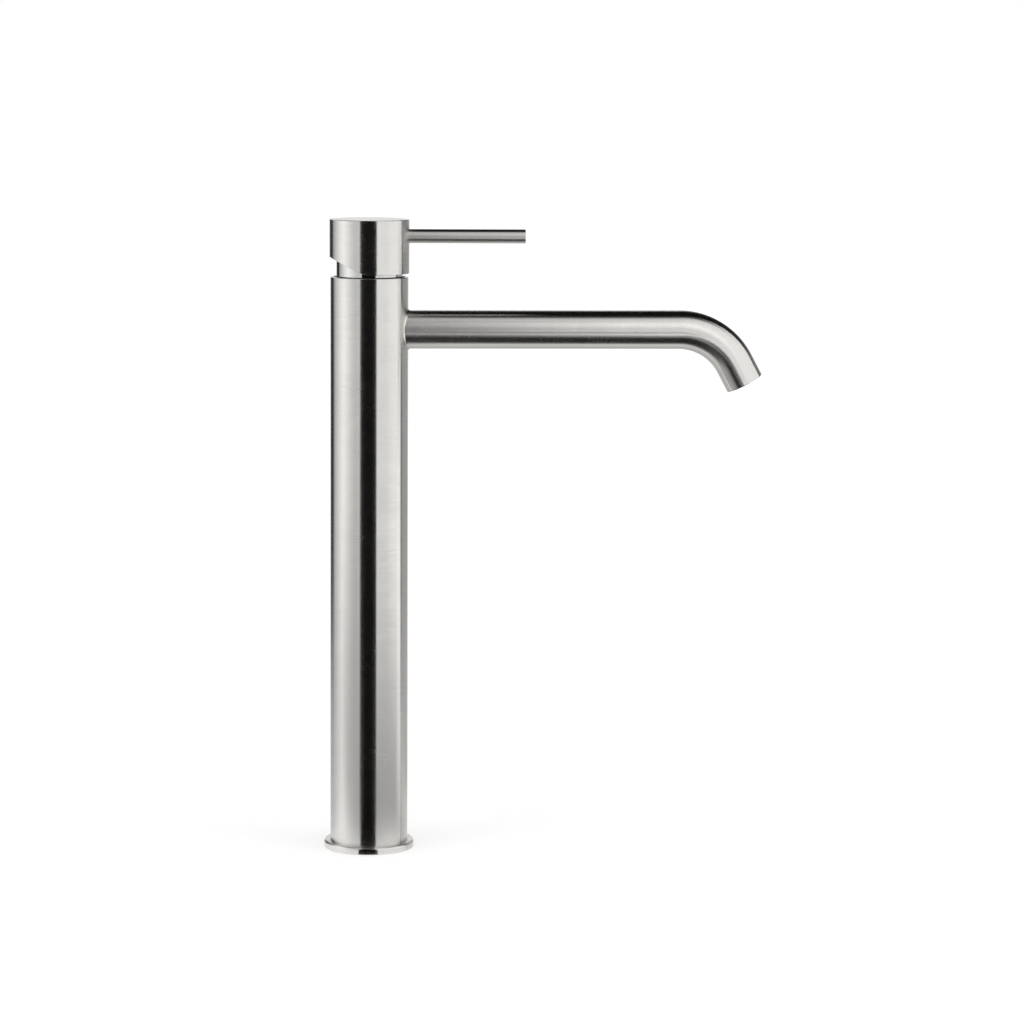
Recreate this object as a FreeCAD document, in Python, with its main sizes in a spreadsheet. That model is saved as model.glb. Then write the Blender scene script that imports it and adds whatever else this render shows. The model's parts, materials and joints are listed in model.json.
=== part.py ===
import FreeCAD, Part
import math
import os
import re

import Sketcher

# Tall single-lever basin mixer, standing on its foot.
# Millimetres. +Z is up, +X points along the spout and the lever, and the origin is the
# centre of the foot's underside, on the face that rests on the basin or worktop.

# ---------------------------------------------------------------- driving dimensions
DIMENSIONS = {
    # Column and foot.
    "column_radius": 22.0,
    "column_wall": 2.0,
    "column_top": 326.6,
    "column_chamfer": 0.4,
    "flange_overhang": 3.7,
    "flange_height": 4.2,
    "flange_round": 1.5,
    "flange_ledge": 1.7,
    "ledge_depth": 3.0,
    "gasket_width": 2.2,
    "gasket_height": 1.2,
    "gasket_rim": 1.1,
    "flange_seal_section": 0.5,
    "flange_seal_lift": 0.5,
    "foot_plug_height": 15.7,
    # Water supply from the foot to the valve block.
    "supply_forward": 5.5,
    "supply_offset": 9.0,
    "supply_radius": 4.5,
    "supply_wall": 1.0,
    "supply_socket": 3.7,
    "hose_port_radius": 4.46,
    "hose_port_depth": 9.0,
    "stud_hole_radius": 3.32,
    "stud_hole_depth": 12.0,
    "stud_hole_back": 11.0,
    # Spout.
    "spout_drop": 29.6,
    "spout_radius": 11.0,
    "spout_wall": 1.5,
    "spout_root_fillet": 1.2,
    "spout_bend_start": 174.8,
    "spout_bend_radius": 36.6,
    "spout_bend_angle": 62.0,
    "spout_tail": 12.4,
    "spout_lip_round": 0.35,
    # Outlet bush and aerator, measured up the tube from the cut end.
    "bush_inset": 0.25,
    "bush_length": 11.5,
    "bush_wall": 0.7,
    "bush_shoulder": 2.2,
    "bush_shoulder_width": 1.2,
    "aerator_inset": 1.0,
    "aerator_wall": 1.3,
    "aerator_lip": 0.7,
    "aerator_seal_height": 1.4,
    "aerator_key_slot": 2.0,
    "straightener_height": 3.6,
    "screen_gap": 0.8,
    "screen_height": 0.6,
    "jet_pitch": 2.05,
    "jet_radius": 0.8,
    # Valve block.
    "block_depth": 20.0,
    "pocket_wall": 2.45,
    "nut_thread_depth": 0.75,
    "nut_thread_runout": 2.0,
    "outlet_mouth": 6.8,
    "outlet_mouth_depth": 9.0,
    "gallery_radius": 3.6,
    "gallery_drop": 2.8,
    "floor_wall": 1.7,
    "riser_radius": 3.4,
    "riser_floor": 4.1,
    "riser_overlap": 2.5,
    "block_seal_section": 0.68,
    "block_seal_margin": 3.0,
    # Ceramic-disc cartridge.
    "base_thickness": 3.5,
    "disc_thickness": 3.0,
    "port_radius": 2.3,
    "port_angle": 54.0,
    "port_land": 0.6,
    "outlet_port_radius": 3.0,
    "outlet_port_back": 3.5,
    "port_seal_height": 1.5,
    "port_seal_wall": 1.5,
    "peg_radius": 1.5,
    "peg_length": 2.0,
    "peg_back": 7.0,
    "peg_offset": 9.5,
    "chamber_height": 1.5,
    "chamber_land": 0.4,
    "carrier_plate": 2.0,
    "carrier_half_length": 5.0,
    "carrier_half_width": 4.1,
    "carrier_above_ball": 0.6,
    "drive_peg_radius": 1.2,
    "drive_peg_offset": 8.4,
    "swivel_flange": 1.8,
    "swivel_above_pivot": 2.9,
    "swivel_slot_front": 9.2,
    "swivel_slot_back": 6.4,
    "shell_wall": 2.25,
    "shell_shoulder": 1.8,
    "shell_neck_wall": 1.9,
    "shell_neck_inset": 2.95,
    "shell_above_pivot": 0.9,
    "stem_pin_radius": 1.5,
    "stem_half_width": 4.0,
    "stem_neck_radius": 2.6,
    "stem_ball_radius": 3.0,
    "stem_square_below_pivot": 4.3,
    "stem_top_above_pivot": 18.4,
    "stem_throw": 9.0,
    # Clamp nut and the polished sleeve over it.
    "nut_neck_height": 5.5,
    "nut_neck_inset": 1.7,
    "nut_slot_width": 3.0,
    "nut_slot_depth": 2.0,
    "sleeve_inset": 3.4,
    "sleeve_height": 11.9,
    "sleeve_lip": 1.5,
    "sleeve_round": 0.8,
    # Handle.
    "pivot_above_column": 9.0,
    "cap_overhang": 0.5,
    "cap_gap": 2.0,
    "cap_height": 30.3,
    "cap_wall": 1.6,
    "cap_roof": 2.0,
    "cap_round": 0.5,
    "heel_height": 9.3,
    "heel_angle": 26.5,
    "heel_blend": 20.0,
    "lever_radius": 4.0,
    "lever_below_top": 9.5,
    "lever_reach": 87.7,
    "lever_tip_round": 0.3,
    "lever_spigot_radius": 2.95,
    "lever_spigot_length": 9.2,
    "hub_radius": 9.0,
    "hub_above_pivot": 9.0,
    "hub_arm_half_width": 6.0,
    "hub_arm_gap": 1.7,
    "hub_socket_roof": 0.5,
    "grub_length": 5.0,
    "grub_hex_radius": 1.7,
    "grub_hex_depth": 2.5,
    # Named clearances.
    "fixed_clearance": 0.05,
    "running_clearance": 0.05,
    "turning_clearance": 0.1,
    "guide_clearance": 0.1,
    "ball_clearance": 0.12,
    "disc_gap": 0.02,
    "slide_gap": 0.2,
    "disc_side_gap": 0.6,
    "sleeve_mouth_gap": 0.7,
    # How far a through cut runs past the piece.
    "overrun": 1.0,
}

# ---------------------------------------------------------------- places worked out from them
PLACES = {
    # Column and foot.
    "column_bore": "column_radius - column_wall",
    "core_radius": "column_bore - fixed_clearance",
    "flange_radius": "column_radius + flange_overhang",
    "flange_opening": "column_radius - ledge_depth",
    "gasket_outer": "flange_radius - gasket_rim",
    "gasket_inner": "gasket_outer - gasket_width",
    "flange_groove_top": "flange_ledge + fixed_clearance + 2 * flange_seal_section + flange_seal_lift",
    "flange_groove_radius": "column_radius + 2 * fixed_clearance + 2 * flange_seal_section",
    "flange_groove_bottom": "flange_groove_top - 2 * flange_seal_section - 2 * fixed_clearance",
    # Spout.
    "spout_height": "column_top - spout_drop",
    "spout_bore": "spout_radius - spout_wall",
    "spout_turn_end_x": "spout_bend_start + spout_bend_radius * sin(spout_bend_angle)",
    "spout_turn_end_z": "spout_height - spout_bend_radius * (1 - cos(spout_bend_angle))",
    "outlet_x": "spout_turn_end_x + spout_tail * cos(spout_bend_angle)",
    "outlet_z": "spout_turn_end_z - spout_tail * sin(spout_bend_angle)",
    "bush_outer": "spout_bore - fixed_clearance",
    "bush_inner": "bush_outer - bush_wall",
    "bush_end": "bush_inset + bush_length",
    "bush_shoulder_start": "bush_end - bush_shoulder",
    "aerator_radius": "bush_inner - fixed_clearance",
    "aerator_bore": "aerator_radius - aerator_wall",
    "aerator_end": "bush_shoulder_start - aerator_seal_height",
    "insert_radius": "aerator_bore - fixed_clearance",
    "straightener_start": "aerator_inset + aerator_lip",
    "straightener_end": "straightener_start + straightener_height",
    # Valve block.
    "block_bottom": "spout_height - block_depth",
    "pocket_floor": "spout_height + outlet_mouth + floor_wall",
    "pocket_radius": "core_radius - pocket_wall",
    "nut_thread_radius": "pocket_radius + nut_thread_depth",
    "gallery_height": "spout_height - gallery_drop",
    "riser_top": "pocket_floor - riser_floor",
    "block_seal_groove": "core_radius - 2 * block_seal_section + fixed_clearance / 2",
    "upper_seal_height": "spout_height + spout_radius + block_seal_margin",
    "lower_seal_height": "spout_height - spout_radius - block_seal_margin",
    # Cartridge, from the pocket floor up.
    "cartridge_radius": "pocket_radius - fixed_clearance",
    "shell_bore": "cartridge_radius - shell_wall",
    "stroke": "stem_throw * sin(lift_angle)",
    "moving_disc_radius": "shell_bore - stroke - disc_side_gap",
    "port_circle": "moving_disc_radius - port_radius - port_land",
    "port_x": "port_circle * cos(port_angle)",
    "port_y": "port_circle * sin(port_angle)",
    "chamber_radius": "port_circle - port_radius - chamber_land",
    "base_top": "pocket_floor + base_thickness",
    "fixed_disc_top": "base_top + disc_thickness",
    "moving_disc_bottom": "fixed_disc_top + disc_gap",
    "moving_disc_top": "moving_disc_bottom + disc_thickness",
    "carrier_plate_top": "moving_disc_top + carrier_plate",
    "swivel_bottom": "carrier_plate_top + slide_gap",
    "swivel_flange_top": "swivel_bottom + swivel_flange",
    "shell_step": "swivel_flange_top + turning_clearance",
    "shoulder": "shell_step + shell_shoulder",
    "pivot": "column_top + pivot_above_column",
    "ball": "pivot - stem_throw",
    "neck_radius": "cartridge_radius - shell_neck_inset",
    "neck_bore": "neck_radius - shell_neck_wall",
    "neck_top": "pivot + shell_above_pivot",
    "swivel_radius": "neck_bore - turning_clearance",
    "swivel_top": "pivot + swivel_above_pivot",
    # Nut and sleeve.
    "nut_radius": "nut_thread_radius - fixed_clearance",
    "nut_bore": "neck_radius + turning_clearance",
    "nut_neck_radius": "nut_radius - nut_neck_inset",
    "nut_top": "column_top + nut_neck_height",
    "sleeve_radius": "column_radius - sleeve_inset",
    "sleeve_top": "column_top + sleeve_height",
    # Handle.
    "cap_radius": "column_radius + cap_overhang",
    "cap_bottom": "column_top + cap_gap",
    "cap_top": "cap_bottom + cap_height",
    "cap_inner": "cap_radius - cap_wall",
    "roof": "cap_top - cap_roof",
    "heel_tangent": "heel_blend * tan(heel_angle / 2)",
    "heel_corner": "heel_height / tan(heel_angle) - cap_radius",
    "heel_blend_end": "heel_corner + heel_tangent",
    "heel_blend_start": "heel_corner - heel_tangent * cos(heel_angle)",
    "heel_blend_rise": "heel_tangent * sin(heel_angle)",
    "lever_height": "cap_top - lever_below_top",
    "hub_bottom": "pivot + hub_above_pivot",
    "hub_arm_reach": "cap_inner - hub_arm_gap",
    "hub_arm_rise": "2 * (lever_height - hub_bottom)",
    "stem_top": "pivot + stem_top_above_pivot",
}

# How far the lever lifts, in degrees: the inner parts leave room for this travel.
LIFT_ANGLE = 25.0
JET_RINGS = 3

Vector = FreeCAD.Vector
document = FreeCAD.newDocument("BasinMixer")
pieces = []


# ---------------------------------------------------------------- tools of the document
def make_sheet():
    """Write the driving dimensions as plain numbers, one alias each."""
    sheet = document.addObject("Spreadsheet::Sheet", "Dimensions")
    values = dict(DIMENSIONS, lift_angle=LIFT_ANGLE)
    for row, (alias, value) in enumerate(values.items(), start=1):
        sheet.set("A%d" % row, alias)
        sheet.set("B%d" % row, "%g" % value)
        sheet.setAlias("B%d" % row, alias)
    document.recompute()
    return sheet


def expand(formula):
    """Write out a formula of named dimensions and places as the document reads it."""
    def written_out(match):
        word = match.group(0)
        if word in PLACES:
            return "(" + expand(PLACES[word]) + ")"
        if word in DIMENSIONS or word == "lift_angle":
            return "Dimensions." + word
        return word
    return re.sub(r"[a-z][a-z_]+", written_out, formula)


def bind(item, target, formula):
    item.setExpression(target, expand(formula))


def size(word):
    return float(sheet.get(word))


def new_body(label):
    body = document.addObject("PartDesign::Body", label)
    body.Label = label
    pieces.append(body)
    return body


def origin_plane(body, role):
    return next(item for item in body.Origin.OriginFeatures if item.Role == role)


def attach(feature, body, plane, at):
    """Lay a sketch or primitive on one of its body's planes, moved by three formulas."""
    feature.AttachmentSupport = [(origin_plane(body, plane), "")]
    feature.MapMode = "FlatFace"
    for axis, formula in zip("xyz", at):
        if formula != "0":
            bind(feature, "AttachmentOffset.Base." + axis, formula)


def primitive(body, kind, name, sizes, plane="XY_Plane", at=("0", "0", "0")):
    """Add or take away a cylinder, box or ball whose sizes follow the sheet."""
    feature = body.newObject("PartDesign::" + kind, name)
    attach(feature, body, plane, at)
    for name_of_size, formula in sizes.items():
        bind(feature, name_of_size, formula)
    body.Tip = feature
    return feature


def bore(body, name, radius, start, length, x="0", y="0"):
    """A vertical hole from one height upwards."""
    sizes = {"Radius": radius, "Height": length}
    return primitive(body, "SubtractiveCylinder", name, sizes, at=(x, y, start))


def post(body, name, radius, start, length, x="0", y="0"):
    """A vertical round boss from one height upwards."""
    sizes = {"Radius": radius, "Height": length}
    return primitive(body, "AdditiveCylinder", name, sizes, at=(x, y, start))


def forward_bore(body, name, radius, start, length, height):
    """A hole along +X at one height."""
    sizes = {"Radius": radius, "Height": length}
    return primitive(body, "SubtractiveCylinder", name, sizes, "YZ_Plane", ("0", height, start))


def pin_bore(body, name, radius, half_length, height):
    """A hole along Y through the axis at one height."""
    sizes = {"Radius": radius, "Height": "2 * (%s)" % half_length}
    return primitive(body, "SubtractiveCylinder", name, sizes, "XZ_Plane",
                     ("0", height, "-(%s)" % half_length))


def polygon_sketch(body, name, points, plane="XZ_Plane", at=("0", "0", "0")):
    """A closed outline of straight lines; each corner is held by two formulas."""
    sketch = body.newObject("Sketcher::SketchObject", name)
    attach(sketch, body, plane, at)
    # The draft is a small regular polygon, turned so that no corner lies on an axis.
    turns = [2 * math.pi * (index + 0.3) / len(points) for index in range(len(points))]
    draft = [Vector(math.cos(turn), math.sin(turn), 0) for turn in turns]
    for index in range(len(points)):
        sketch.addGeometry(Part.LineSegment(draft[index], draft[(index + 1) % len(points)]), False)
    for index, (across, along) in enumerate(points):
        previous = (index - 1) % len(points)
        sketch.addConstraint(Sketcher.Constraint("Coincident", previous, 2, index, 1))
        hold(sketch, "DistanceX", index, 1, across)
        hold(sketch, "DistanceY", index, 1, along)
    return sketch


def hold(sketch, kind, geometry, end, formula):
    """Hold one end of a line at a distance from the sketch's origin."""
    if formula == "0":
        axis = -2 if kind == "DistanceX" else -1
        sketch.addConstraint(Sketcher.Constraint("PointOnObject", geometry, end, axis))
        return
    point = sketch.getPoint(geometry, end)
    now = point.x if kind == "DistanceX" else point.y
    number = sketch.addConstraint(Sketcher.Constraint(kind, -1, 1, geometry, end, now))
    bind(sketch, "Constraints[%d]" % number, formula)


def turned(label, outline):
    """A piece turned on a lathe: an outline of radius and height, spun about Z."""
    body = new_body(label)
    sketch = polygon_sketch(body, label + "_outline", outline)
    feature = body.newObject("PartDesign::Revolution", label + "_turned")
    feature.Profile = sketch
    feature.ReferenceAxis = (sketch, ["V_Axis"])
    feature.Angle = 360.0
    body.Tip = feature
    return body


def ring(label, inner, outer, bottom, top):
    """A plain turned ring."""
    return turned(label, [(inner, bottom), (outer, bottom), (outer, top), (inner, top)])


def circle_edges(feature, radius, height, axis_x=0.0):
    """Names of the round edges of one radius at one height."""
    names = []
    for number, edge in enumerate(feature.Shape.Edges, start=1):
        curve = edge.Curve
        if not isinstance(curve, Part.Circle):
            continue
        if abs(curve.Radius - radius) < 1e-3 and abs(curve.Center.z - height) < 1e-3:
            if abs(curve.Center.x - axis_x) < 1e-3:
                names.append("Edge%d" % number)
    return names


def dress(body, kind, name, base, edges, target, formula):
    """Round or bevel chosen edges of a body's last feature."""
    feature = body.newObject("PartDesign::" + kind, name)
    feature.Base = (base, edges)
    bind(feature, target, formula)
    body.Tip = feature
    return feature


def around(body, feature, count, name):
    """Repeat a feature evenly about the body's Z axis."""
    pattern = body.newObject("PartDesign::PolarPattern", name)
    pattern.Originals = [feature]
    pattern.Axis = (origin_plane(body, "Z_Axis"), [""])
    pattern.Angle = 360.0
    pattern.Occurrences = count
    body.Tip = pattern
    return pattern


def seal_ring(label, centre_radius, section, height):
    """A round-section rubber ring lying level."""
    torus = document.addObject("Part::Torus", label)
    torus.Label = label
    bind(torus, "Radius1", centre_radius)
    bind(torus, "Radius2", section)
    bind(torus, "Placement.Base.z", height)
    pieces.append(torus)
    return torus


# ---------------------------------------------------------------- column and foot
def make_column():
    body = ring("column_tube", "column_bore", "column_radius", "flange_ledge", "column_top")
    # The hole that the spout's root is welded into.
    hole = forward_bore(body, "spout_hole", "spout_radius + fixed_clearance", "0",
                        "column_radius + column_wall", "spout_height")
    document.recompute()
    rim = circle_edges(hole, size("column_radius"), size("column_top"))
    dress(body, "Chamfer", "column_rim", hole, rim, "Size", "column_chamfer")


def make_foot():
    flange = turned("base_flange", [
        ("flange_opening", "0"),
        ("gasket_inner", "0"),
        ("gasket_inner", "gasket_height"),
        ("gasket_outer", "gasket_height"),
        ("gasket_outer", "0"),
        ("flange_radius", "0"),
        ("flange_radius", "flange_height"),
        ("column_radius + fixed_clearance", "flange_height"),
        ("column_radius + fixed_clearance", "flange_groove_top"),
        ("flange_groove_radius", "flange_groove_top"),
        ("flange_groove_radius", "flange_groove_bottom"),
        ("column_radius + fixed_clearance", "flange_groove_bottom"),
        ("column_radius + fixed_clearance", "flange_ledge"),
        ("flange_opening", "flange_ledge"),
    ])
    document.recompute()
    spin = flange.Tip
    edge = circle_edges(spin, size("column_radius") + size("flange_overhang"), size("flange_height"))
    dress(flange, "Fillet", "flange_edge", spin, edge, "Radius", "flange_round")
    ring("base_gasket", "gasket_inner", "gasket_outer", "0", "gasket_height")
    seal_ring("flange_seal", "column_radius + fixed_clearance + flange_seal_section",
              "flange_seal_section", "(flange_groove_top + flange_groove_bottom) / 2")


def make_foot_plug():
    """The brass plug in the column's foot, with two hose ports and the stud's hole."""
    body = turned("base_plug", [
        ("0", "0"),
        ("flange_opening - fixed_clearance", "0"),
        ("flange_opening - fixed_clearance", "flange_ledge"),
        ("core_radius", "flange_ledge"),
        ("core_radius", "foot_plug_height"),
        ("0", "foot_plug_height"),
    ])
    for side, sign in (("hot", ""), ("cold", "-")):
        across = sign + "supply_offset"
        bore(body, side + "_hose_port", "hose_port_radius", "0", "hose_port_depth",
             "supply_forward", across)
        bore(body, side + "_way", "supply_radius - supply_wall", "0", "foot_plug_height",
             "supply_forward", across)
        bore(body, side + "_socket", "supply_radius + fixed_clearance",
             "foot_plug_height - supply_socket", "supply_socket", "supply_forward", across)
    bore(body, "stud_hole", "stud_hole_radius", "0", "stud_hole_depth", "-stud_hole_back")


def make_supply_tubes():
    """Two straight tubes between the foot plug's sockets and the valve block's."""
    start = "foot_plug_height - supply_socket"
    length = "block_bottom + supply_socket - foot_plug_height + supply_socket"
    for label, sign in (("hot_supply_tube", ""), ("cold_supply_tube", "-")):
        outside = document.addObject("Part::Cylinder", label + "_outside")
        inside = document.addObject("Part::Cylinder", label + "_inside")
        for cylinder, radius in ((outside, "supply_radius"), (inside, "supply_radius - supply_wall")):
            bind(cylinder, "Radius", radius)
            bind(cylinder, "Height", length)
            bind(cylinder, "Placement.Base.x", "supply_forward")
            bind(cylinder, "Placement.Base.y", sign + "supply_offset")
            bind(cylinder, "Placement.Base.z", start)
        tube = document.addObject("Part::Cut", label)
        tube.Label = label
        tube.Base = outside
        tube.Tool = inside
        pieces.append(tube)


# ---------------------------------------------------------------- spout and aerator
def path_sketch(body, name, start):
    """The spout's centre line: level, round the bend, then straight to the outlet."""
    sketch = body.newObject("Sketcher::SketchObject", name)
    attach(sketch, body, "XZ_Plane", ("0", "0", "0"))
    turn = math.radians(size("spout_bend_angle"))
    level = size("column_top") - size("spout_drop")
    bend_start = Vector(size("spout_bend_start"), level, 0)
    radius = size("spout_bend_radius")
    centre = bend_start - Vector(0, radius, 0)
    bend_end = centre + Vector(radius * math.sin(turn), radius * math.cos(turn), 0)
    outlet = bend_end + Vector(math.cos(turn), -math.sin(turn), 0) * size("spout_tail")
    root = sketch.addGeometry(Part.LineSegment(Vector(0, level, 0), bend_start), False)
    circle = Part.Circle(centre, Vector(0, 0, 1), radius)
    bend = sketch.addGeometry(Part.ArcOfCircle(circle, math.pi / 2 - turn, math.pi / 2), False)
    tail = sketch.addGeometry(Part.LineSegment(bend_end, outlet), False)
    sketch.addConstraint(Sketcher.Constraint("Horizontal", root))
    sketch.addConstraint(Sketcher.Constraint("Tangent", root, 2, bend, 2))
    sketch.addConstraint(Sketcher.Constraint("Tangent", bend, 1, tail, 1))
    hold(sketch, "DistanceX", root, 1, start)
    hold(sketch, "DistanceY", root, 1, "spout_height")
    hold(sketch, "DistanceX", root, 2, "spout_bend_start")
    number = sketch.addConstraint(Sketcher.Constraint("Radius", bend, radius))
    bind(sketch, "Constraints[%d]" % number, "spout_bend_radius")
    hold(sketch, "DistanceX", tail, 2, "outlet_x")
    hold(sketch, "DistanceY", tail, 2, "outlet_z")
    return sketch


def circle_sketch(body, name, radius, start):
    """A circle across the spout's level run, at one distance along +X."""
    sketch = body.newObject("Sketcher::SketchObject", name)
    attach(sketch, body, "YZ_Plane", ("0", "0", start))
    circle = sketch.addGeometry(Part.Circle(Vector(0, 1, 0), Vector(0, 0, 1), 1.0), False)
    hold(sketch, "DistanceX", circle, 3, "0")
    hold(sketch, "DistanceY", circle, 3, "spout_height")
    number = sketch.addConstraint(Sketcher.Constraint("Radius", circle, 1.0))
    bind(sketch, "Constraints[%d]" % number, radius)
    return sketch


def pipe(body, kind, name, radius, start):
    """Sweep a circle along the spout's centre line."""
    feature = body.newObject("PartDesign::" + kind, name)
    feature.Profile = circle_sketch(body, name + "_section", radius, start)
    spine = path_sketch(body, name + "_path", start)
    feature.Spine = (spine, ["Edge1", "Edge2", "Edge3"])
    body.Tip = feature
    document.recompute()
    return feature


def is_root_edge(edge):
    """True where the spout's skin meets the column's."""
    middle = edge.valueAt((edge.FirstParameter + edge.LastParameter) / 2)
    from_column = abs(math.hypot(middle.x, middle.y) - size("column_radius"))
    height = middle.z - size("column_top") + size("spout_drop")
    from_spout = abs(math.hypot(middle.y, height) - size("spout_radius"))
    return from_column < 1e-3 and from_spout < 1e-3


def make_spout():
    body = new_body("spout_tube")
    root_start = "column_bore / 2"
    pipe(body, "AdditivePipe", "spout_outside", "spout_radius", root_start)
    # The bead of weld round the root is rolled against a stand-in for the column's skin.
    skin = post(body, "column_skin", "column_radius", "spout_height - 2 * spout_radius", "4 * spout_radius")
    document.recompute()
    names = ["Edge%d" % number for number, edge in enumerate(skin.Shape.Edges, start=1) if is_root_edge(edge)]
    dress(body, "Fillet", "root_bead", skin, names, "Radius", "spout_root_fillet")
    bore(body, "skin_away", "column_radius", "spout_height - 3 * spout_radius", "6 * spout_radius")
    # The root itself goes through the column's wall and is coped to its bore.
    sizes = {"Radius": "spout_radius", "Height": "column_radius"}
    primitive(body, "AdditiveCylinder", "root_stub", sizes, "YZ_Plane", ("0", "spout_height", root_start))
    bore(body, "root_cope", "column_bore", "spout_height - 3 * spout_radius", "6 * spout_radius")
    bored = pipe(body, "SubtractivePipe", "spout_bore", "spout_bore", root_start)
    x, z = outlet_centre()
    lip = circle_edges(bored, size("spout_radius"), z, x)
    dress(body, "Fillet", "outlet_lip", bored, lip, "Radius", "spout_lip_round")


def outlet_centre():
    """The middle of the outlet's cut end."""
    turn = math.radians(size("spout_bend_angle"))
    radius = size("spout_bend_radius")
    tail = size("spout_tail")
    x = size("spout_bend_start") + radius * math.sin(turn) + tail * math.cos(turn)
    z = size("column_top") - size("spout_drop") - radius * (1 - math.cos(turn)) - tail * math.sin(turn)
    return x, z


def set_in_outlet(body):
    """Stand a piece, made upright, in the outlet with its Z axis up the tube."""
    body.Placement = FreeCAD.Placement(Vector(), FreeCAD.Rotation(Vector(0, -1, 0), 1.0))
    bind(body, "Placement.Base.x", "outlet_x")
    bind(body, "Placement.Base.z", "outlet_z")
    bind(body, "Placement.Rotation.Angle", "90 - spout_bend_angle")


def drill_jets(body, start, length):
    """Round jets: one in the middle and rings of six, twelve and eighteen round it."""
    bore(body, body.Label + "_middle_jet", "jet_radius", start, length)
    for ring_number in range(1, JET_RINGS + 1):
        name = "%s_jet_%d" % (body.Label, ring_number)
        jet = bore(body, name, "jet_radius", start, length, "%d * jet_pitch" % ring_number)
        around(body, jet, 6 * ring_number, name + "_ring")


def make_aerator():
    bush = turned("outlet_bush", [
        ("bush_inner", "bush_inset"),
        ("bush_outer", "bush_inset"),
        ("bush_outer", "bush_end"),
        ("bush_inner - bush_shoulder_width", "bush_end"),
        ("bush_inner - bush_shoulder_width", "bush_shoulder_start"),
        ("bush_inner", "bush_shoulder_start"),
    ])
    housing = turned("aerator_housing", [
        ("aerator_bore - aerator_lip", "aerator_inset"),
        ("aerator_radius", "aerator_inset"),
        ("aerator_radius", "aerator_end"),
        ("aerator_bore", "aerator_end"),
        ("aerator_bore", "straightener_start"),
        ("aerator_bore - aerator_lip", "straightener_start"),
    ])
    # Slots across the rim for the removing key.
    slot_sizes = {"Length": "2 * aerator_radius", "Width": "aerator_key_slot", "Height": "aerator_lip"}
    key_slot = primitive(housing, "SubtractiveBox", "key_slot", slot_sizes,
                         at=("-aerator_radius", "-aerator_key_slot / 2", "aerator_inset"))
    around(housing, key_slot, 4, "key_slots")
    seal = ring("aerator_seal", "aerator_bore", "aerator_radius", "aerator_end", "bush_shoulder_start")
    straightener = turned("flow_straightener", [
        ("0", "straightener_start"),
        ("insert_radius", "straightener_start"),
        ("insert_radius", "straightener_end"),
        ("0", "straightener_end"),
    ])
    drill_jets(straightener, "straightener_start", "straightener_height")
    screen = turned("aerator_screen", [
        ("0", "straightener_end + screen_gap"),
        ("insert_radius - jet_radius", "straightener_end + screen_gap"),
        ("insert_radius - jet_radius", "straightener_end"),
        ("insert_radius", "straightener_end"),
        ("insert_radius", "straightener_end + screen_gap + screen_height"),
        ("0", "straightener_end + screen_gap + screen_height"),
    ])
    drill_jets(screen, "straightener_end", "screen_gap + screen_height")
    for body in (bush, housing, seal, straightener, screen):
        set_in_outlet(body)


# ---------------------------------------------------------------- valve block and cartridge
def make_valve_block():
    """The brass core that carries the cartridge and sends water to the spout."""
    body = turned("valve_block", [
        ("0", "block_bottom"),
        ("core_radius", "block_bottom"),
        ("core_radius", "column_top"),
        ("nut_thread_radius", "column_top"),
        ("nut_thread_radius", "shoulder - nut_thread_runout"),
        ("pocket_radius", "shoulder - nut_thread_runout"),
        ("pocket_radius", "pocket_floor"),
        ("0", "pocket_floor"),
    ])
    for side, sign in (("hot", ""), ("cold", "-")):
        bore(body, side + "_tube_socket", "supply_radius + fixed_clearance", "block_bottom",
             "supply_socket", "supply_forward", sign + "supply_offset")
        bore(body, side + "_riser", "riser_radius", "block_bottom",
             "riser_top - block_bottom", "supply_forward", sign + "supply_offset")
        bore(body, side + "_floor_port", "port_radius", "riser_top - riser_overlap",
             "riser_floor + riser_overlap", "port_x", sign + "port_y")
        bore(body, side + "_peg_hole", "peg_radius + fixed_clearance",
             "pocket_floor - peg_length - slide_gap", "peg_length + slide_gap",
             "-peg_back", sign + "peg_offset")
    bore(body, "outlet_drop", "outlet_port_radius", "gallery_height",
         "pocket_floor - gallery_height", "-outlet_port_back")
    forward_bore(body, "outlet_gallery", "gallery_radius", "-outlet_port_back",
                 "outlet_port_back + core_radius", "gallery_height")
    forward_bore(body, "outlet_mouth_bore", "outlet_mouth", "core_radius - outlet_mouth_depth",
                 "outlet_mouth_depth + column_wall", "spout_height")
    for side in ("upper", "lower"):
        height = side + "_seal_height"
        below = height + " - block_seal_section - fixed_clearance"
        above = height + " + block_seal_section + fixed_clearance"
        groove = polygon_sketch(body, side + "_groove_outline", [
            ("block_seal_groove", below),
            ("column_radius", below),
            ("column_radius", above),
            ("block_seal_groove", above),
        ])
        cut = body.newObject("PartDesign::Groove", side + "_seal_groove")
        cut.Profile = groove
        cut.ReferenceAxis = (groove, ["V_Axis"])
        cut.Angle = 360.0
        body.Tip = cut
        seal_ring(side + "_block_seal", "block_seal_groove + block_seal_section",
                  "block_seal_section", height)


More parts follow.
